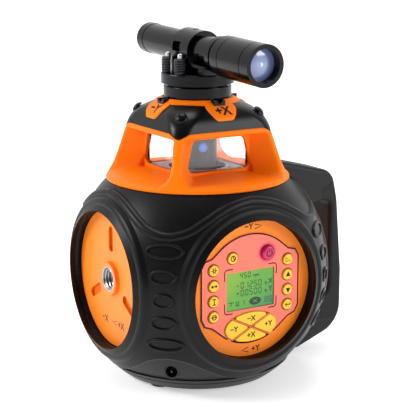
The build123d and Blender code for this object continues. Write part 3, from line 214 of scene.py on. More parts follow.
def screenGlow(finish, shade):  # yellower at the top left, bluer at the right and the bottom
    _, across, up = finish.axes()
    lean = across - (up - waistZ) * glowTint["lean"]
    plain = finish.spread(lean, glowTint["warmFrom"] * mm, glowTint["warmTo"] * mm)
    cool = finish.spread(lean, glowTint["coolFrom"] * mm, glowTint["coolTo"] * mm)
    return finish.mixed(cool, finish.mixed(plain, glowTint["warm"], shade), glowTint["cool"])


# After a colour come gloss, grain, its depth, cloud and unevenness; after a metal's gloss and stretch
orange = toLinear(255, 120, 2)
plateOrange = toLinear(255, 134, 40)
dull = {"Specular_IOR_Level": 0.12}
rubbery = {"Specular_IOR_Level": 0.2}
finishes = {
    "jacket_rubber": moulded("jacketRubber", toLinear(13, 13, 14), 0.4, 1500, 0.08, 0.12, 0.12, **rubbery),
    "base_plastic": moulded("basePlastic", toLinear(42, 44, 42), 0.42, 1900, **rubbery),
    "foot_rubber": moulded("footRubber", toLinear(22, 22, 23), 0.7, 1200, 0.1),
    "orange_plastic": moulded("orangePlastic", orange, 0.46, 2200, 0.03, 0.035, 0.06, **dull),
    "inner_plastic": moulded("innerPlastic", toLinear(14, 14, 15), 0.6, **rubbery),
    "handle_plastic": moulded("handlePlastic", toLinear(38, 39, 41), 0.42, 1700, **rubbery),
    "grip_rubber": moulded("gripRubber", toLinear(34, 35, 37), 0.5, 1300, 0.1, 0.12, **rubbery),
    "cap_plastic": moulded("capPlastic", toLinear(11, 11, 12), 0.3, 2300, 0.03, **rubbery),
    "floor_plastic": moulded("floorPlastic", toLinear(150, 150, 156), 0.3, 2000, 0.03),
    "black_screw": turnedMetal("blackScrew", toLinear(60, 60, 62), 0.38),
    "frame_metal": turnedMetal("frameMetal", toLinear(150, 152, 156), 0.4, (30, 30, 900)),
    "steel": turnedMetal("insertSteel", toLinear(180, 182, 186), 0.34),
    "bright_metal": turnedMetal("adjusterMetal", toLinear(70, 70, 74), 0.3),
    "pulley_brass": turnedMetal("pulleyBrass", toLinear(214, 176, 96), 0.3),
    "membrane": moulded("membraneFilm", toLinear(250, 116, 94), 0.42, 2600, 0.03, 0.02, tinted=powerHalo),
    "display": moulded("displayGreen", toLinear(88, 160, 50), 0.3, 3000, 0.01, 0.02, tinted=screenGlow),
    "board": moulded("boardGreen", toLinear(28, 92, 54), 0.4),
    "battery_sleeve": moulded("batterySleeve", toLinear(42, 64, 120), 0.3),
    "socket_plastic": moulded("socketPlastic", toLinear(18, 18, 19), 0.4),
    "motor_case": turnedMetal("motorCase", toLinear(170, 172, 176), 0.3),
    "rotor_plastic": moulded("rotorPlastic", toLinear(66, 66, 70), 0.3, 2100, 0.03),
    "belt_rubber": moulded("beltRubber", toLinear(34, 34, 34), 0.65),
    "scope_black": moulded("scopeBlack", toLinear(9, 9, 10), 0.18, 2600, 0.01, uneven=0.06, **rubbery),
    "key_plastic": moulded("keyYellow", toLinear(242, 192, 26), 0.34, 2200, 0.02),
    "power_plastic": moulded("powerRed", toLinear(196, 24, 84), 0.22, 2200, 0.02),
    "printed": moulded("printedInk", toLinear(34, 10, 14), 0.5, 2400, 0.01, 0.15, **rubbery),
    # painted shade: the dark-brown colour of the rims round the keys
    "keyShadeRim": moulded("keyShadeRim", toLinear(104, 34, 20), 0.5, 2400, 0.01, 0.15),
    "screenInk": moulded("screenInk", toLinear(20, 52, 26), 0.4, 2400, 0.01, 0.15),
    "plateOrange": moulded("plateOrange", plateOrange, 0.36, 2200, 0.03, 0.03, 0.06, **rubbery),
    # the side plate's orange, with painted shade in its grooves
    "sideOrangeGrooveShade": moulded("sideOrangeGrooveShade", plateOrange, 0.36, 2200, 0.03, 0.03, 0.06, darkGrooves, **rubbery),
    "brownInk": moulded("brownInk", toLinear(96, 40, 14), 0.5, 2000, 0.02, 0.05),
    "floorLine": moulded("floorLine", toLinear(224, 176, 180), 0.4, 2000, 0.02, 0.06),
    # painted highlight: a grey lighter than the base plastic, for the bright line along each arch's edge
    "archPaintedHighlight": moulded("archPaintedHighlight", toLinear(66, 67, 66), 0.4, 2000, 0.02, 0.06),
    "springSteel": turnedMetal("springSteel", toLinear(46, 46, 50), 0.3),
    "brightTip": turnedMetal("brightTip", toLinear(190, 192, 196), 0.3),
}

# Clear panes: faint haze
paneForm = {"refraction": 1.46, "gloss": 0.02, "hazeScale": 60, "hazeDetail": 2, "hazeGloss": 0.03}


def clearPane(name, tint):
    finish = Finish(name, Base_Color=tint, IOR=paneForm["refraction"], Transmission_Weight=1.0)
    haze = finish.noise(paneForm["hazeScale"], paneForm["hazeDetail"])
    return finish.use(Roughness=paneForm["gloss"] + haze * paneForm["hazeGloss"])


finishes["clear_pane"] = clearPane("windowPane", (0.97, 0.98, 0.98, 1))
finishes["prism_glass"] = clearPane("prismGlass", (0.9, 0.94, 1, 1))

# Coated glass with painted light: a painted highlight makes it brighter in the middle, and a faint painted
# glow lights it though it is no lamp; shares are of its radius
coatAndHighlightForm = {"coatGloss": 0.03, "swirlScale": 45, "swirlDetail": 2, "swirlReach": 0.25, "core": 0.1,
            "gloss": 0.1, "swirlGloss": 0.1}
lensForm = {"rim": toLinear(100, 110, 158), "centre": toLinear(128, 144, 186), "glow": 0.06,
            "radius": 12 * mm}
beamForm = {"rim": toLinear(56, 96, 214), "centre": toLinear(84, 126, 236), "glow": 0.3,
            "radius": 4 * mm}


def coatedLens(name, form, at):
    finish = Finish(name, Coat_Weight=1.0, Coat_Roughness=coatAndHighlightForm["coatGloss"])
    # painted glow: the glass emits light though it is no lamp
    finish.use(Emission_Strength=form["glow"])
    swirl = finish.noise(coatAndHighlightForm["swirlScale"], coatAndHighlightForm["swirlDetail"])
    # painted highlight: the colour lightens from the rim towards the middle
    away = finish.farFrom(at.y, at.z) + (swirl - 0.5) * (coatAndHighlightForm["swirlReach"] * form["radius"])
    faded = finish.spread(away, coatAndHighlightForm["core"] * form["radius"], form["radius"])
    tint = finish.mixed(faded, form["centre"], form["rim"])
    finish.use(Base_Color=tint, Emission_Color=tint)
    return finish.use(Roughness=coatAndHighlightForm["gloss"] + swirl * coatAndHighlightForm["swirlGloss"])


# The objective is the larger of the two lenses, so their box starts at its lower edge
objective = Vector((0, 0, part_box("scope_lenses")[0].z + lensForm["radius"]))
finishes["lens_glass"] = coatedLens("coatedLens", lensForm, objective)
finishes["beam_window"] = coatedLens("beamWindowPaintedGlow", beamForm, middle("rotor_window"))

for node in nodes.values():
    for slot in node.material_slots:
        slot.material = finishes[slot.material.name].material
for node in ("panel_bezel", "rear_door", "handle_side_plate"):
    nodes[node].material_slots[0].material = finishes["plateOrange"].material
nodes["side_mount_plate"].material_slots[0].material = finishes["sideOrangeGrooveShade"].material
print("finishes:", len(finishes))


# Tools for modelling by hand: selection, copies, finishing
def clearSelection():
    if bpy.context.mode != "OBJECT":
        bpy.ops.object.mode_set(mode="OBJECT")
    bpy.ops.object.select_all(action="DESELECT")


def pick(piece):
    clearSelection()
    piece.select_set(True)
    bpy.context.view_layer.objects.active = piece
    return piece


def editing(piece, kind="FACE"):
    pick(piece)
    bpy.ops.object.mode_set(mode="EDIT")
    bpy.ops.mesh.select_mode(type=kind)
    bpy.ops.mesh.select_all(action="SELECT")


def done():
    bpy.ops.object.mode_set(mode="OBJECT")


def chooseFaces(piece, test):  # stays in edit mode with the faces that pass
    editing(piece)
    bpy.ops.mesh.select_all(action="DESELECT")
    done()
    for face in piece.data.polygons:
        face.select = test(face.center, face.normal)
    bpy.ops.object.mode_set(mode="EDIT")


def outwards(piece):
    editing(piece, "VERT")
    bpy.ops.mesh.remove_doubles(threshold=weldWithin)
    bpy.ops.mesh.normals_make_consistent(inside=False)
    done()


def modified(piece, kind, **settings):
    pick(piece)
    bpy.ops.object.modifier_add(type=kind)
    added = piece.modifiers[-1]
    for key, value in settings.items():
        setattr(added, key, value)
    bpy.ops.object.modifier_apply(modifier=added.name)
    return piece


def raised(height):  # extrudes what is selected along local z, in millimetres
    bpy.ops.mesh.extrude_region_move(TRANSFORM_OT_translate={"value": (0, 0, height * mm)})


def copyOf(node, name):  # a merged copy of a node's mesh, without its stored normals
    source = nodes[node]
    piece = source.copy()
    piece.data = source.data.copy()
    piece.name = name
    bpy.context.scene.collection.objects.link(piece)
    editing(piece, "VERT")
    bpy.ops.mesh.remove_doubles(threshold=weldWithin)
    done()
    bpy.ops.mesh.customdata_custom_splitnormals_clear()
    return piece


def twin(piece, turn):  # another copy with its own mesh, turned into place
    other = piece.copy()
    other.data = piece.data.copy()
    bpy.context.scene.collection.objects.link(other)
    other.data.transform(turn)
    return other


def joined(parts):
    pick(parts[0])
    for part in parts[1:]:
        part.select_set(True)
    bpy.ops.object.join()
    return bpy.context.object


def settle(piece, name, body, finish, angle=32):  # its place goes into the mesh
    pick(piece)
    bpy.ops.object.transform_apply(location=True, rotation=True, scale=True)
    bpy.ops.object.shade_smooth_by_angle(angle=math.radians(angle))
    piece.name = name
    piece.data.name = name
    piece.data.materials.clear()
    piece.data.materials.append(finishes[finish].material)
    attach(piece, body)
    return piece


def facing(right, up, spot):  # local x to the right, local y up, local z outwards
    right, up = Vector(right).normalized(), Vector(up).normalized()
    out = right.cross(up)
    return Matrix.Translation(spot) @ Matrix((right, up, out)).transposed().to_4x4()


def onPanel(x, side, rise):  # a spot on the front panel, in millimetres from its centre
    return facing((0, 1, 0), (0, 0, 1), Vector((x, side * mm, waistZ + rise * mm)))


def onKey(node):
    at = middle(node)
    return onPanel(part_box(node)[1].x, at.y / mm, (at.z - waistZ) / mm)


def onSide(x, rise):  # a spot on the side plate
    return facing((1, 0, 0), (0, 0, 1), Vector((x * mm, -plateAway, waistZ + rise * mm)))


def turnedBy(degrees, axis="Z"):
    return Matrix.Rotation(math.radians(degrees), 4, axis)


def arc(x, y, radius, start, end, steps=18, squeeze=1.0):
    turns = [math.radians(start + (end - start) * i / steps) for i in range(steps + 1)]
    return [(x + radius * math.cos(t), y + radius * squeeze * math.sin(t)) for t in turns]


def ray(turn, start, end):  # a stroke outwards from the middle
    across, up = math.cos(math.radians(turn)), math.sin(math.radians(turn))
    return [(start * across, start * up), (end * across, end * up)]


curveForm = {"strokeFine": 1, "barFine": 3, "closedSteps": 4, "openSteps": 12, "meetWithin": 0.001}


def newCurve(width, fine):
    clearSelection()
    bpy.ops.curve.primitive_bezier_curve_add()
    drawing = bpy.context.object
    drawing.data.splines.clear()
    drawing.data.bevel_depth = width / 2 * mm
    drawing.data.bevel_resolution = fine
    drawing.data.use_fill_caps = True
    return drawing


def drawnLines(lines, width, height, spot):  # raised strokes, in millimetres in their own plane
    drawing = newCurve(width, curveForm["strokeFine"])
    for line in lines:
        stroke = drawing.data.splines.new("POLY")
        closed = len(line) > 2 and math.dist(line[0], line[-1]) < curveForm["meetWithin"]
        points = line[:-1] if closed else line
        stroke.points.add(len(points) - 1)
        for point, (x, y) in zip(stroke.points, points):
            point.co = (x * mm, y * mm, 0, 1)
        stroke.use_cyclic_u = closed
    pick(drawing)
    bpy.ops.object.convert(target="MESH")
    drawing.data.transform(spot @ Matrix.Diagonal((1, 1, height / width, 1)))
    return drawing


def roundBar(points, width, closed=False):  # a smooth bar through points in space, in millimetres
    bar = newCurve(width, curveForm["barFine"])
    path = bar.data.splines.new("BEZIER")
    path.bezier_points.add(len(points) - 1)
    for knot, point in zip(path.bezier_points, points):
        knot.co = Vector(point) * mm
        knot.handle_left_type = knot.handle_right_type = "AUTO"
    path.use_cyclic_u = closed
    path.resolution_u = curveForm["closedSteps" if closed else "openSteps"]
    pick(bar)
    bpy.ops.object.convert(target="MESH")
    return bar


def lettered(words, size, height, spot, bold=0.02):
    clearSelection()
    bpy.ops.object.text_add()
    letters = bpy.context.object
    letters.data.body = words
    letters.data.size = size * mm
    letters.data.align_x = "CENTER"
    letters.data.align_y = "CENTER"
    letters.data.extrude = height / 2 * mm
    letters.data.resolution_u = 3
    letters.data.offset = size * bold * mm
    pick(letters)
    bpy.ops.object.convert(target="MESH")
    editing(letters, "VERT")
    bpy.ops.mesh.remove_doubles(threshold=letterWeld)
    done()
    letters.data.transform(spot)
    return letters


def disc(radius, steps=48):  # a flat face to start from
    clearSelection()
    bpy.ops.mesh.primitive_circle_add(vertices=steps, radius=radius * mm, fill_type="NGON")
    return bpy.context.object


def openRing(inner, outer, steps):  # the disc's middle is cut out
    ring = disc(outer, steps)
    editing(ring)
    bpy.ops.mesh.inset(thickness=(outer - inner) * mm)
    bpy.ops.mesh.delete(type="FACE")
    done()
    return ring


def flatRing(form, z, steps=72, edge=0.3):
    ring = openRing(form["inner"], form["outer"], steps)
    modified(ring, "SOLIDIFY", thickness=form["height"] * mm, offset=1)
    modified(ring, "BEVEL", width=form["height"] * edge * mm, segments=2, limit_method="ANGLE")
    ring.data.transform(Matrix.Translation((0, 0, z)))
    return ring


def dome(radius, squash, cut, segments, rings):  # a flattened ball, cut off below
    clearSelection()
    bpy.ops.mesh.primitive_uv_sphere_add(segments=segments, ring_count=rings, radius=radius * mm)
    piece = bpy.context.object
    editing(piece, "VERT")
    bpy.ops.mesh.bisect(plane_co=(0, 0, cut * mm), plane_no=(0, 0, 1), clear_inner=True, use_fill=True)
    bpy.ops.mesh.select_all(action="SELECT")
    bpy.ops.transform.resize(value=(1, 1, squash))
    return piece


# Membrane: dark printed line along its outline, thin dark-brown rims round the keys as painted shade at
# their edges, webs between the pad's keys
membraneForm = {
    "line": 0.95, "shadeRim": 0.38, "height": 0.16, "powerRoom": 7.0, "keyRoom": 5.6,
    "padRoom": 1.3, "padFootRoom": 0.35, "padFootFrom": 0.72, "screenAcross": 22, "screenUp": 16,
    "webWidth": 0.9, "webHeight": 2.2, "webShare": 0.735,
}
padMiddle = (middle("pad_up") + middle("pad_down")) / 2
padAcross = (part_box("pad_right")[1].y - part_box("pad_left")[0].y) / 2
padUp = (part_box("pad_up")[1].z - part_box("pad_down")[0].z) / 2
padRise = (padMiddle.z - waistZ) / mm
keyNodes = [f"{side}_key_{row}" for side in ("left", "right") for row in (1, 2, 3, 4)] + ["mode_key"]
keySpots = [middle(node) for node in keyNodes]


def near(spot, at, room):
    return math.hypot(spot.y - at.y, spot.z - at.z) < room * mm


def inPad(spot):
    across, up = spot.y - padMiddle.y, spot.z - padMiddle.z
    atFoot = up < -membraneForm["padFootFrom"] * padUp
    room = membraneForm["padFootRoom" if atFoot else "padRoom"] * mm
    return (across / (padAcross + room)) ** 2 + (up / (padUp + room)) ** 2 < 1


def inScreen(spot):
    across, up = abs(spot.y - lcdMiddle.y), abs(spot.z - lcdMiddle.z)
    return across < membraneForm["screenAcross"] * mm and up < membraneForm["screenUp"] * mm


def atKeyRim(spot):
    return any(near(spot, at, membraneForm["keyRoom"]) for at in keySpots)


def atOutline(spot):
    aside = inPad(spot) or inScreen(spot) or atKeyRim(spot)
    return not (aside or near(spot, powerSpot, membraneForm["powerRoom"]))


def membraneStrip(name, width, wanted, finish):
    strip = copyOf("keypad_overlay", name)
    chooseFaces(strip, lambda spot, normal: normal.x < facesOut)
    bpy.ops.mesh.delete(type="FACE")
    editing(strip)
    bpy.ops.mesh.inset(thickness=width * mm, use_even_offset=True)
    bpy.ops.mesh.delete(type="FACE")
    chooseFaces(strip, lambda spot, normal: not wanted(spot))
    bpy.ops.mesh.delete(type="FACE")
    done()
    modified(strip, "SOLIDIFY", thickness=membraneForm["height"] * mm, offset=1)
    settle(strip, name, "housing", finish)


membraneStrip("membraneLine", membraneForm["line"], atOutline, "printed")
# painted shade: a thin dark-brown ring on the membrane round each key
membraneStrip("keyShadeRims", membraneForm["shadeRim"], atKeyRim, "keyShadeRim")
webAcross, webUp = [half / mm * membraneForm["webShare"] for half in (padAcross, padUp)]
webs = [[(-webAcross, -webUp), (webAcross, webUp)], [(-webAcross, webUp), (webAcross, -webUp)]]
padSpot = onPanel(overlayFront, padMiddle.y / mm, padRise)
padWebs = drawnLines(webs, membraneForm["webWidth"], membraneForm["webHeight"], padSpot)
settle(padWebs, "padWebs", "housing", "membrane")

# Display: seven-segment figures and small signs
figureForm = {"width": 0.66, "signWidth": 0.6, "height": 0.12, "gap": 0.28, "wide": 0.52,
              "point": (2.82, 2.9)}  # the point's two ends, in pitches
figureRows = [  # figures, height, pitch, place across and up
    ("450", 3.6, 3.3, -8.2, 8.2),
    ("-01250", 4.2, 3.75, -11.4, 0.7),
    ("+00500", 4.2, 3.75, -11.4, -4.9),
]
segments = {  # which of the seven bars each sign lights
    "0": "abcdef", "1": "bc", "2": "abged", "4": "fgbc", "5": "afgcd", "+": "gv", "-": "g",
}
screenWords = [  # words, size, place across and up
    ("rpm", 3.2, 5.2, 9.0), ("X", 5.4, 17.2, 2.8), ("Y", 5.4, 17.2, -2.8), ("%", 3.2, 13.3, 1.6),
    ("%", 3.2, 13.3, -4.0),
]
screenSigns = {  # strokes along the foot of the screen
    "tee": [[(-18, -8.8), (-13.6, -8.8)], [(-15.8, -8.8), (-15.8, -11.6)]],
    "dial": [[(-12.4, -11.6), (-8.6, -11.6)], arc(-10.5, -9.8, 1.1, 0, 360, 14)],
    "bar": [[(-4.9, -7.9), (-4.9, -11.6)]],
    "battery": [[(12.6, -8.6), (18.6, -8.6), (18.6, -12), (12.6, -12), (12.6, -8.6)]],
    "charge": [[(x, -9.5), (x, -11.1)] for x in (14.0, 15.6, 17.2)],
}
badge = {"at": (4.3, -10.1), "across": 5.0, "up": 2.9, "thick": 0.1, "steps": 40}
badgeCross = {"across": 1.7, "up": 1.1, "width": 0.7, "height": 0.2}


def figure(sign, tall, x, y):
    wide, gap = tall * figureForm["wide"], figureForm["gap"]
    right, top, mid = x + wide, y + tall, y + tall / 2
    bars = {
        "a": [(x + gap, top), (right - gap, top)], "g": [(x + gap, mid), (right - gap, mid)],
        "d": [(x + gap, y), (right - gap, y)], "f": [(x, mid + gap), (x, top - gap)],
        "b": [(right, mid + gap), (right, top - gap)], "e": [(x, y + gap), (x, mid - gap)],
        "c": [(right, y + gap), (right, mid - gap)],
        "v": [(x + wide / 2, mid - wide / 2 + gap), (x + wide / 2, mid + wide / 2 - gap)],
    }
    return [bars[bar] for bar in segments[sign]]


figures = []
for text, tall, pitch, x, y in figureRows:
    for place, sign in enumerate(text):
        figures += figure(sign, tall, x + place * pitch, y)
    if text[0] in "+-":  # figures with a sign have a decimal point
        figures.append([(x + pitch * end, y) for end in figureForm["point"]])
screen = onPanel(lcdFront, 0, 0)
screenMarks = [drawnLines(figures, figureForm["width"], figureForm["height"], screen)]
for words, size, across, up in screenWords:
    screenMarks.append(lettered(words, size, figureForm["height"], onPanel(lcdFront, across, up)))
strokes = sum(screenSigns.values(), [])
screenMarks.append(drawnLines(strokes, figureForm["signWidth"], figureForm["height"], screen))
ellipse = disc(1, badge["steps"])  # a dark badge, under a cross in the screen's own green
modified(ellipse, "SOLIDIFY", thickness=badge["thick"] * mm, offset=0)
badgeSpot = onPanel(lcdFront, *badge["at"])
ellipse.data.transform(badgeSpot @ Matrix.Diagonal((badge["across"], badge["up"], 1, 1)))
screenMarks.append(ellipse)
settle(joined(screenMarks), "displayFigures", "housing", "screenInk")
across, up = badgeCross["across"], badgeCross["up"]
cross = [[(-across, -up), (across, up)], [(-across, up), (across, -up)]]
displayCross = drawnLines(cross, badgeCross["width"], badgeCross["height"], badgeSpot)
settle(displayCross, "displayCross", "housing", "display")

# Brackets round the display's corners
bracket = {"side": 21.7, "rise": 16.2, "reach": 6.8, "drop": 8.0, "corner": 2.4, "width": 0.85,
           "height": 0.16, "z": -0.4}
bendAcross = bracket["side"] - bracket["corner"]
bendUp = bracket["rise"] - bracket["corner"]
hook = [(bracket["side"] - bracket["reach"], bracket["rise"])]
hook += arc(bendAcross, bendUp, bracket["corner"], 90, 0, 6)
hook.append((bracket["side"], bracket["rise"] - bracket["drop"]))
hooks = [[(left * x, up * y + bracket["z"]) for x, y in hook] for left in (-1, 1) for up in (-1, 1)]
brackets = drawnLines(hooks, bracket["width"], bracket["height"], onPanel(overlayFront, 0, 0))
settle(brackets, "displayBrackets", "housing", "printed")
print("display marked")

# Signs on the keys; each sign rides on its own key
signForm = {"width": 0.72, "powerWidth": 0.75, "height": 0.2, "arrow": 2.3, "padSize": 5.4,
            "padAcross": 14.5, "padUp": 6.1}
minus = "\u2212"
keySigns = {
    "left_key_1": [arc(0, 0, 0.9, 0, 360, 14)] + [ray(60 * i, 1.4, 2.3) for i in range(6)],
    "left_key_2": [[(-2.2, 0), (2.2, 0)], [(-1.2, 1), (-2.2, 0), (-1.2, -1)],
                   [(1.2, 1), (2.2, 0), (1.2, -1)]],
    "left_key_3": [[(0, 2), (0, -2)], [(-1.4, 2), (1.4, 2)], [(-1.4, -2), (1.4, -2)]],
    "left_key_4": [arc(0, 0, 1.6, 0, 360, 20), [(-2.4, 0), (2.4, 0)]],
    "right_key_1": [[(-2, -1.3), (2, -1.3), (-2, 1.5), (-2, -1.3)]],
    "right_key_4": [[(-2.2, 0), (2, 0)], [(-1, 1.2), (-2.2, 0), (-1, -1.2)], [(2, 0), (2, 1.4)]],
    "mode_key": [arc(0, 0, 1.8, 0, 360, 20), [(0, 0), (0, 1.7)], [(0, 0), (1.2, -0.8)]],
}
powerSign = [arc(0, 0, 2.3, 125, 415, 24), [(0, 0.7), (0, 3.1)]]
arrowTurns = {"right_key_2": 0, "right_key_3": -180}  # filled arrowheads, up and down
padSigns = {  # words, and the way from the pad's middle
    "pad_up": (minus + "X", 0, 1), "pad_down": ("+X", 0, -1),
    "pad_left": (minus + "Y", -1, 0), "pad_right": ("+Y", 1, 0),
}
for node, lines in keySigns.items():
    strokes = drawnLines(lines, signForm["width"], signForm["height"], onKey(node))
    settle(strokes, node + "_sign", node, "printed")
for node, turn in arrowTurns.items():
    arrow = disc(signForm["arrow"], steps=3)
    modified(arrow, "SOLIDIFY", thickness=signForm["height"] * mm, offset=0)
    arrow.data.transform(onKey(node) @ turnedBy(turn))
    settle(arrow, node + "_sign", node, "printed")
strokes = drawnLines(powerSign, signForm["powerWidth"], signForm["height"], onKey("power_key"))
settle(strokes, "power_key_sign", "power_key", "printed")
for node, (sign, across, up) in padSigns.items():
    rise = padRise + up * signForm["padUp"]
    spot = onPanel(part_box(node)[1].x, across * signForm["padAcross"], rise)
    words = lettered(sign, signForm["padSize"], signForm["height"], spot)
    settle(words, node + "_sign", node, "printed")

# Axis marks on the bezel and the side plate
chevron = [[(-2.9, 1.7), (3.1, 0), (-2.9, -1.7)]]
bezelForm = {
    "size": 6.0, "stroke": 0.75, "height": 0.2,
    "rows": [  # words and their place, the chevron's place and turn
        (minus + "Y", (-1.6, 44.6), (6.4, 44.3), 0),
        ("+Y", (4.8, -45.6), (-4.2, -45.4), 180),
    ],
}
sideForm = {"size": 7.4, "stroke": 0.8, "height": 0.3, "rise": -32.6, "minusX": -11, "chevron": 4,
            "plusX": 14}
bezelMarks = []
for words, at, chevronAt, turn in bezelForm["rows"]:
    bezelMarks.append(lettered(words, bezelForm["size"], bezelForm["height"], onPanel(bezelFront, *at)))
    spot = onPanel(bezelFront, *chevronAt) @ turnedBy(turn)
    bezelMarks.append(drawnLines(chevron, bezelForm["stroke"], bezelForm["height"], spot))
settle(joined(bezelMarks), "bezelMarks", "housing", "printed")
minusSpot, chevronSpot, plusSpot = [
    onSide(sideForm[key], sideForm["rise"]) for key in ("minusX", "chevron", "plusX")]
sideMarks = [
    lettered(minus + "X", sideForm["size"], sideForm["height"], minusSpot),
    drawnLines(chevron, sideForm["stroke"], sideForm["height"], chevronSpot @ turnedBy(180)),
    lettered("+X", sideForm["size"], sideForm["height"], plusSpot),
]
settle(joined(sideMarks), "sidePlateMarks", "housing", "brownInk")

# Axis marks on the cap's ring: letters dropped onto its sloping lobes
lobeMarks = {"size": 9.4, "reach": 35.7, "thick": 0.3, "flat": 0.8, "bold": 0.035, "above": 12,
             "lift": 0.05}
for turn, sign in zip((0, 90, 180, 270), ("+X", "+Y", minus + "X", minus + "Y")):
    across = turnedBy(turn) @ Vector((0, 1, 0))
    inwards = turnedBy(turn) @ Vector((-1, 0, 0))
    above = Vector((0, 0, ringTop + lobeMarks["above"] * mm)) - inwards * lobeMarks["reach"] * mm
    at = facing(across, inwards, above) @ Matrix.Diagonal((1, lobeMarks["flat"], 1, 1))
    words = lettered(sign, lobeMarks["size"], 0, at, lobeMarks["bold"])
    modified(words, "SHRINKWRAP", target=nodes["axis_ring"], wrap_method="PROJECT", use_project_z=True,
             use_negative_direction=True, use_positive_direction=False, offset=lobeMarks["lift"] * mm)
    modified(words, "SOLIDIFY", thickness=lobeMarks["thick"] * mm, offset=0)
    settle(words, "lobeMark_" + str(turn), "housing", "printed")
print("signs done")

# Threaded steel inserts: a sleeve with a chamfered mouth and a real helix inside
thread = {
    "minor": 6.8, "major": 7.94, "outer": 9.5, "pitch": 2.309, "length": 16, "steps": 48,
    "crest": (0.4, 0.6),  # in shares of the pitch
    "wall": 0.05, "mouth": 0.32, "foot": 0.2, "edge": 0.4,
}


def threadHelix():
    clearSelection()
    bpy.ops.mesh.primitive_plane_add(size=1)  # becomes one tooth of the thread, as an open line
    helix = bpy.context.object
    editing(helix, "VERT")
    bpy.ops.mesh.delete(type="ONLY_FACE")
    done()
    start, end = thread["crest"]
    tooth = [(thread["major"], 0), (thread["minor"], start), (thread["minor"], end), (thread["major"], 1)]
    for corner, (radius, rise) in zip((0, 1, 3, 2), tooth):  # the plane's corners in turn
        z = rise * thread["pitch"] - thread["length"] - thread["pitch"]
        helix.data.vertices[corner].co = (radius * mm, 0, z * mm)
    for edge in helix.data.edges:
        edge.select = set(edge.vertices) == {0, 2}
    bpy.ops.object.mode_set(mode="EDIT")
    bpy.ops.mesh.select_mode(type="EDGE")
    bpy.ops.mesh.delete(type="EDGE")
    done()
    turns = int(thread["length"] / thread["pitch"]) + 2
    modified(helix, "SCREW", axis="Z", screw_offset=thread["pitch"] * mm, iterations=turns,
             steps=thread["steps"], render_steps=thread["steps"], use_merge_vertices=True,
             merge_threshold=weldWithin)
    for cut, above in ((-thread["mouth"], True), (thread["foot"] - thread["length"], False)):
        editing(helix, "VERT")
        bpy.ops.mesh.bisect(plane_co=(0, 0, cut * mm), plane_no=(0, 0, 1), clear_outer=above,
                            clear_inner=not above)
        done()
    return modified(helix, "SOLIDIFY", thickness=thread["wall"] * mm, offset=0)


def threadedInsert(spot):  # local z points out of the mouth
    helix = threadHelix()
    sleeve = openRing(thread["major"] + thread["wall"], thread["outer"], thread["steps"])
    modified(sleeve, "SOLIDIFY", thickness=thread["length"] * mm, offset=-1)
    modified(sleeve, "BEVEL", width=thread["edge"] * mm, segments=3, limit_method="ANGLE")
    whole = joined([sleeve, helix])
    whole.data.transform(spot)
    return whole


underside = facing((1, 0, 0), (0, -1, 0), Vector((0, 0, 0)))
sideHole = facing((1, 0, 0), (0, 0, 1), Vector((0, sideMouth, waistZ)))
inserts = joined([threadedInsert(underside), threadedInsert(sideHole)])
settle(inserts, "threadedInserts", "housing", "steel")
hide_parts("tripod_inserts")
print("inserts threaded")

# Lighthouse: soft edges on the cage, a flange under the rotor, a ring on the floor
cageForm = {"voxel": 0.62, "strength": 0.5, "smooth": 9, "keep": 0.6, "angle": 60}
flange = {"inner": 13.8, "outer": 22, "height": 0.9, "z": 150.4}  # clears the floor at the full tilt
floorRing = {"inner": 23.8, "outer": 24.6, "height": 0.2}
cage = copyOf("lighthouse_cage", "softCage")
modified(cage, "REMESH", mode="VOXEL", voxel_size=cageForm["voxel"] * mm)
modified(cage, "SMOOTH", factor=cageForm["strength"], iterations=cageForm["smooth"])
modified(cage, "DECIMATE", ratio=cageForm["keep"])
settle(cage, "softCage", "housing", "orange_plastic", cageForm["angle"])
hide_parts("lighthouse_cage")
settle(flatRing(flange, flange["z"] * mm), "rotorFlange", "rotor", "floor_plastic")
settle(flatRing(floorRing, floorTop), "floorRing", "housing", "floorLine")
print("lighthouse done")

# Cap: a plug in each corner dimple
corners = (45, 135, 225, 315)  # degrees round the body
plug = {"radius": 4.7, "squash": 0.62, "cut": -0.01, "reach": 46, "z": 198.2, "tilt": 50, "sink": 1.2}
seat = turnedBy(corners[0]) @ Matrix.Translation((plug["reach"] * mm, 0, plug["z"] * mm))
seat = seat @ turnedBy(plug["tilt"], "Y") @ Matrix.Translation((0, 0, -plug["sink"] * mm))
capPlug = dome(plug["radius"], plug["squash"], plug["cut"], segments=40, rings=20)
outwards(capPlug)
capPlug.data.transform(seat)
for quarter in range(4):
    other = twin(capPlug, turnedBy(90 * quarter))
    settle(other, "capPlug_" + str(quarter + 1), "housing", "cap_plastic")
bpy.data.objects.remove(capPlug)

# Jacket and base trim: a bead round each oval, a rounded ridge along each brow, a fine bead under each
# arch, coloured lighter than the base as a painted highlight along its edge
ball = {"offset": -1.0, "curve": 97.5}  # the body's side is an arc of this radius about a ring
ovalBeads = {
    "ovals": [(113, 13.7), (96, 9.8), (79.4, 7.9), (62.8, 9.8), (45.8, 13.7)],  # height, half width
    "tall": 5.3, "inset": 0.8, "sink": -0.15, "width": 2.3, "steps": 28,
}
browRidge = {
    "half": [(0, 123.4), (8, 124.6), (16, 127.4), (21, 130.6), (27, 134.8), (34, 139.4), (42, 143),
             (50.6, 144.8)],  # way from the corner's middle, height
    "sink": 3.2, "drop": 2.4, "width": 8.6,
}
archTrim = {
    "half": [(0, 34.4), (8, 33.2), (16, 30.4), (21, 27.2), (27, 23), (34, 18.2), (40, 14.8)],
    "sink": 1.2, "drop": 0.75, "width": 0.8,
}
trimAngle = 50


def onBall(side, z, sink):  # a spot on the ball in millimetres, at a corner that is turned to x
    radius = ball["offset"] + math.sqrt(ball["curve"] ** 2 - (z - waistZ / mm) ** 2) - sink
    return (math.sqrt(radius ** 2 - side ** 2), side, z)


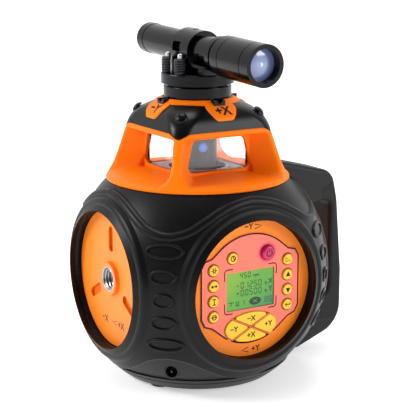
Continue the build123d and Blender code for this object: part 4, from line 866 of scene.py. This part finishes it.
def overBall(form):  # a corner's curve from one end to the other
    half = form["half"]
    whole = [(-side, rise) for side, rise in half[:0:-1]] + half
    return [onBall(side, rise - form["drop"], form["sink"]) for side, rise in whole]


def ovalBead(z, wide):
    across, up = wide - ovalBeads["inset"], ovalBeads["tall"] - ovalBeads["inset"]
    outline = arc(0, 0, across, 0, 360, ovalBeads["steps"], up / across)[:-1]
    ring = [onBall(side, z + rise, ovalBeads["sink"]) for side, rise in outline]
    return roundBar(ring, ovalBeads["width"], True)


def onCorners(trim, name, finish):
    for azimuth in corners:
        settle(twin(trim, turnedBy(azimuth)), name + "_" + str(azimuth), "housing", finish, trimAngle)
    bpy.data.objects.remove(trim)


onCorners(joined([ovalBead(z, wide) for z, wide in ovalBeads["ovals"]]), "ovalBeads", "jacket_rubber")
onCorners(roundBar(overBall(browRidge), browRidge["width"]), "browRidge", "jacket_rubber")
# the arch bead is real relief, and its lighter grey is a painted highlight
onCorners(roundBar(overBall(archTrim), archTrim["width"]), "archTrim", "archPaintedHighlight")
print("trim done")

# Telescope: spring coils and bright tips on the adjusters, a locking pin, a clamp screw
knobs = {"xs": (-11, 7), "inset": 4.5}
coilForm = {"radius": 4.35, "wire": 0.62, "sides": 10, "pitch": 1.75, "turns": 5, "steps": 28, "angle": 60}
tipForm = {"radius": 2.1, "squash": 0.8, "cut": -0.2, "height": 3.4, "edge": 0.2, "sink": 1.1, "angle": 40}
pinForm = {"x": -2.4, "y": -20, "radius": 1.0, "height": 12.5, "shank": 0.8, "shoulder": 0.3, "edge": 0.15}
screwForm = {"x": -2, "radius": 2.3, "height": 1.2, "rim": 0.9, "socket": 0.7, "edge": 0.2, "sink": 1.5}
knobY = adjusters[1].y - knobs["inset"] * mm
clearSelection()
bpy.ops.mesh.primitive_circle_add(vertices=coilForm["sides"], radius=coilForm["wire"] * mm,
                                  location=(coilForm["radius"] * mm, 0, 0),
                                  rotation=(math.radians(90), 0, 0))
coil = bpy.context.object
bpy.ops.object.transform_apply(location=True, rotation=True, scale=True)
modified(coil, "SCREW", axis="Z", screw_offset=coilForm["pitch"] * mm, iterations=coilForm["turns"],
         steps=coilForm["steps"], render_steps=coilForm["steps"])
editing(coil, "VERT")
bpy.ops.mesh.remove_doubles(threshold=weldWithin)
bpy.ops.mesh.select_all(action="DESELECT")
bpy.ops.mesh.select_non_manifold()
bpy.ops.mesh.fill_holes(sides=0)
outwards(coil)
tip = dome(tipForm["radius"], tipForm["squash"], tipForm["cut"], segments=24, rings=16)
chooseFaces(tip, lambda spot, normal: normal.z < -facesOut)
raised(tipForm["radius"] * tipForm["squash"] - tipForm["height"])
bpy.ops.mesh.inset(thickness=tipForm["edge"] * mm)
outwards(tip)
for number, x in enumerate(knobs["xs"], start=1):
    at = Matrix.Translation((x * mm, knobY, adjusters[0].z + coilForm["wire"] * mm))
    settle(twin(coil, at), "adjusterSpring_" + str(number), "telescope", "springSteel",
           coilForm["angle"])
    at = Matrix.Translation((x * mm, knobY, adjusters[1].z - tipForm["sink"] * mm))
    settle(twin(tip, at), "adjusterTip_" + str(number), "telescope", "brightTip",
           tipForm["angle"])
bpy.data.objects.remove(coil)
bpy.data.objects.remove(tip)
pin = disc(pinForm["radius"], steps=24)
editing(pin)
raised(pinForm["height"] * pinForm["shank"])
bpy.ops.mesh.inset(thickness=pinForm["shoulder"] * mm)
raised(pinForm["height"] * (1 - pinForm["shank"]))
outwards(pin)
modified(pin, "BEVEL", width=pinForm["edge"] * mm, segments=2, limit_method="ANGLE")
pin.data.transform(Matrix.Translation((pinForm["x"] * mm, pinForm["y"] * mm, adjusters[0].z)))
settle(pin, "lockingPin", "telescope", "frame_metal")
clampScrew = disc(screwForm["radius"], steps=36)
editing(clampScrew)
raised(screwForm["height"])
bpy.ops.mesh.inset(thickness=screwForm["rim"] * mm)
raised(-screwForm["socket"])
outwards(clampScrew)
modified(clampScrew, "BEVEL", width=screwForm["edge"] * mm, segments=2, limit_method="ANGLE")
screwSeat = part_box("scope_ring")[1].z - screwForm["sink"] * mm
clampScrew.data.transform(Matrix.Translation((screwForm["x"] * mm, 0, screwSeat)))
settle(clampScrew, "clampScrew", "telescope", "black_screw")
print("telescope dressed")

# Studio: pale floor, soft light, and a camera where the photograph was taken from
studio = {
    "cameraAt": (0.8145, -0.4817, 0.3371), "lookAt": (0.00378, 0.00628, 0.1243),
    "lens": 112.64, "sensor": 36, "sight": 100,
    "floorSize": 40, "floorShade": (0.93, 0.93, 0.93, 1), "floorGlow": 0.5,
    "floorGloss": 0.7, "floorScale": 3, "floorUneven": 0.1,
    "skyBehind": 1.2, "skyInFront": 0.12, "skyFrom": -0.7, "skyTo": 0.9,
    "lamps": [  # place, aimed at, width, power
        ((-0.6, -1.6, 1.2), (0, 0, 0.1), 0.6, 24),
        ((1.5, 1.1, 0.7), (0, 0, 0.1), 0.8, 15),
        ((-0.4, 0.3, 2.1), (0, 0, 0.12), 1.0, 16),
    ],
}


def aimed(place, target):
    return (Vector(target) - Vector(place)).to_track_quat("-Z", "Y").to_euler()


clearSelection()
bpy.ops.object.camera_add(location=studio["cameraAt"], rotation=aimed(studio["cameraAt"], studio["lookAt"]))
camera = bpy.context.object
camera.data.lens = studio["lens"]
camera.data.sensor_width = studio["sensor"]
camera.data.clip_end = studio["sight"]
bpy.context.scene.camera = camera
for place, target, width, power in studio["lamps"]:
    bpy.ops.object.light_add(type="AREA", location=place, rotation=aimed(place, target))
    bpy.context.object.data.size = width
    bpy.context.object.data.energy = power

# The sky is bright behind the object and dim on the camera's side, so that dark parts keep their shape
world = bpy.data.worlds.new("studioSky")
bpy.context.scene.world = world
world.use_nodes = True
sky = world.node_tree
ways = sky.nodes.new("ShaderNodeTexCoord")
towards = sky.nodes.new("ShaderNodeVectorMath")
towards.operation = "DOT_PRODUCT"
towards.inputs[1].default_value = (Vector(studio["cameraAt"]) - Vector(studio["lookAt"])).normalized()
shading = sky.nodes.new("ShaderNodeMapRange")
for number, key in enumerate(("skyFrom", "skyTo", "skyBehind", "skyInFront"), start=1):
    shading.inputs[number].default_value = studio[key]
sky.links.new(ways.outputs["Object"], towards.inputs[0])
sky.links.new(towards.outputs["Value"], shading.inputs[0])
sky.links.new(shading.outputs[0], sky.nodes["Background"].inputs["Strength"])
sky.nodes["Background"].inputs["Color"].default_value = (1, 1, 1, 1)

clearSelection()
bpy.ops.mesh.primitive_plane_add(size=studio["floorSize"])
studioFloor = bpy.context.object
studioFloor.name = "studioFloor"
floorFinish = Finish("studioFloor", Base_Color=studio["floorShade"], Emission_Color=studio["floorShade"],
                     Emission_Strength=studio["floorGlow"])
scuffs = floorFinish.noise(studio["floorScale"])
floorFinish.use(Roughness=studio["floorGloss"] + scuffs * studio["floorUneven"])
studioFloor.data.materials.append(floorFinish.material)
bpy.context.scene.view_settings.view_transform = "Standard"
print("studio ready")
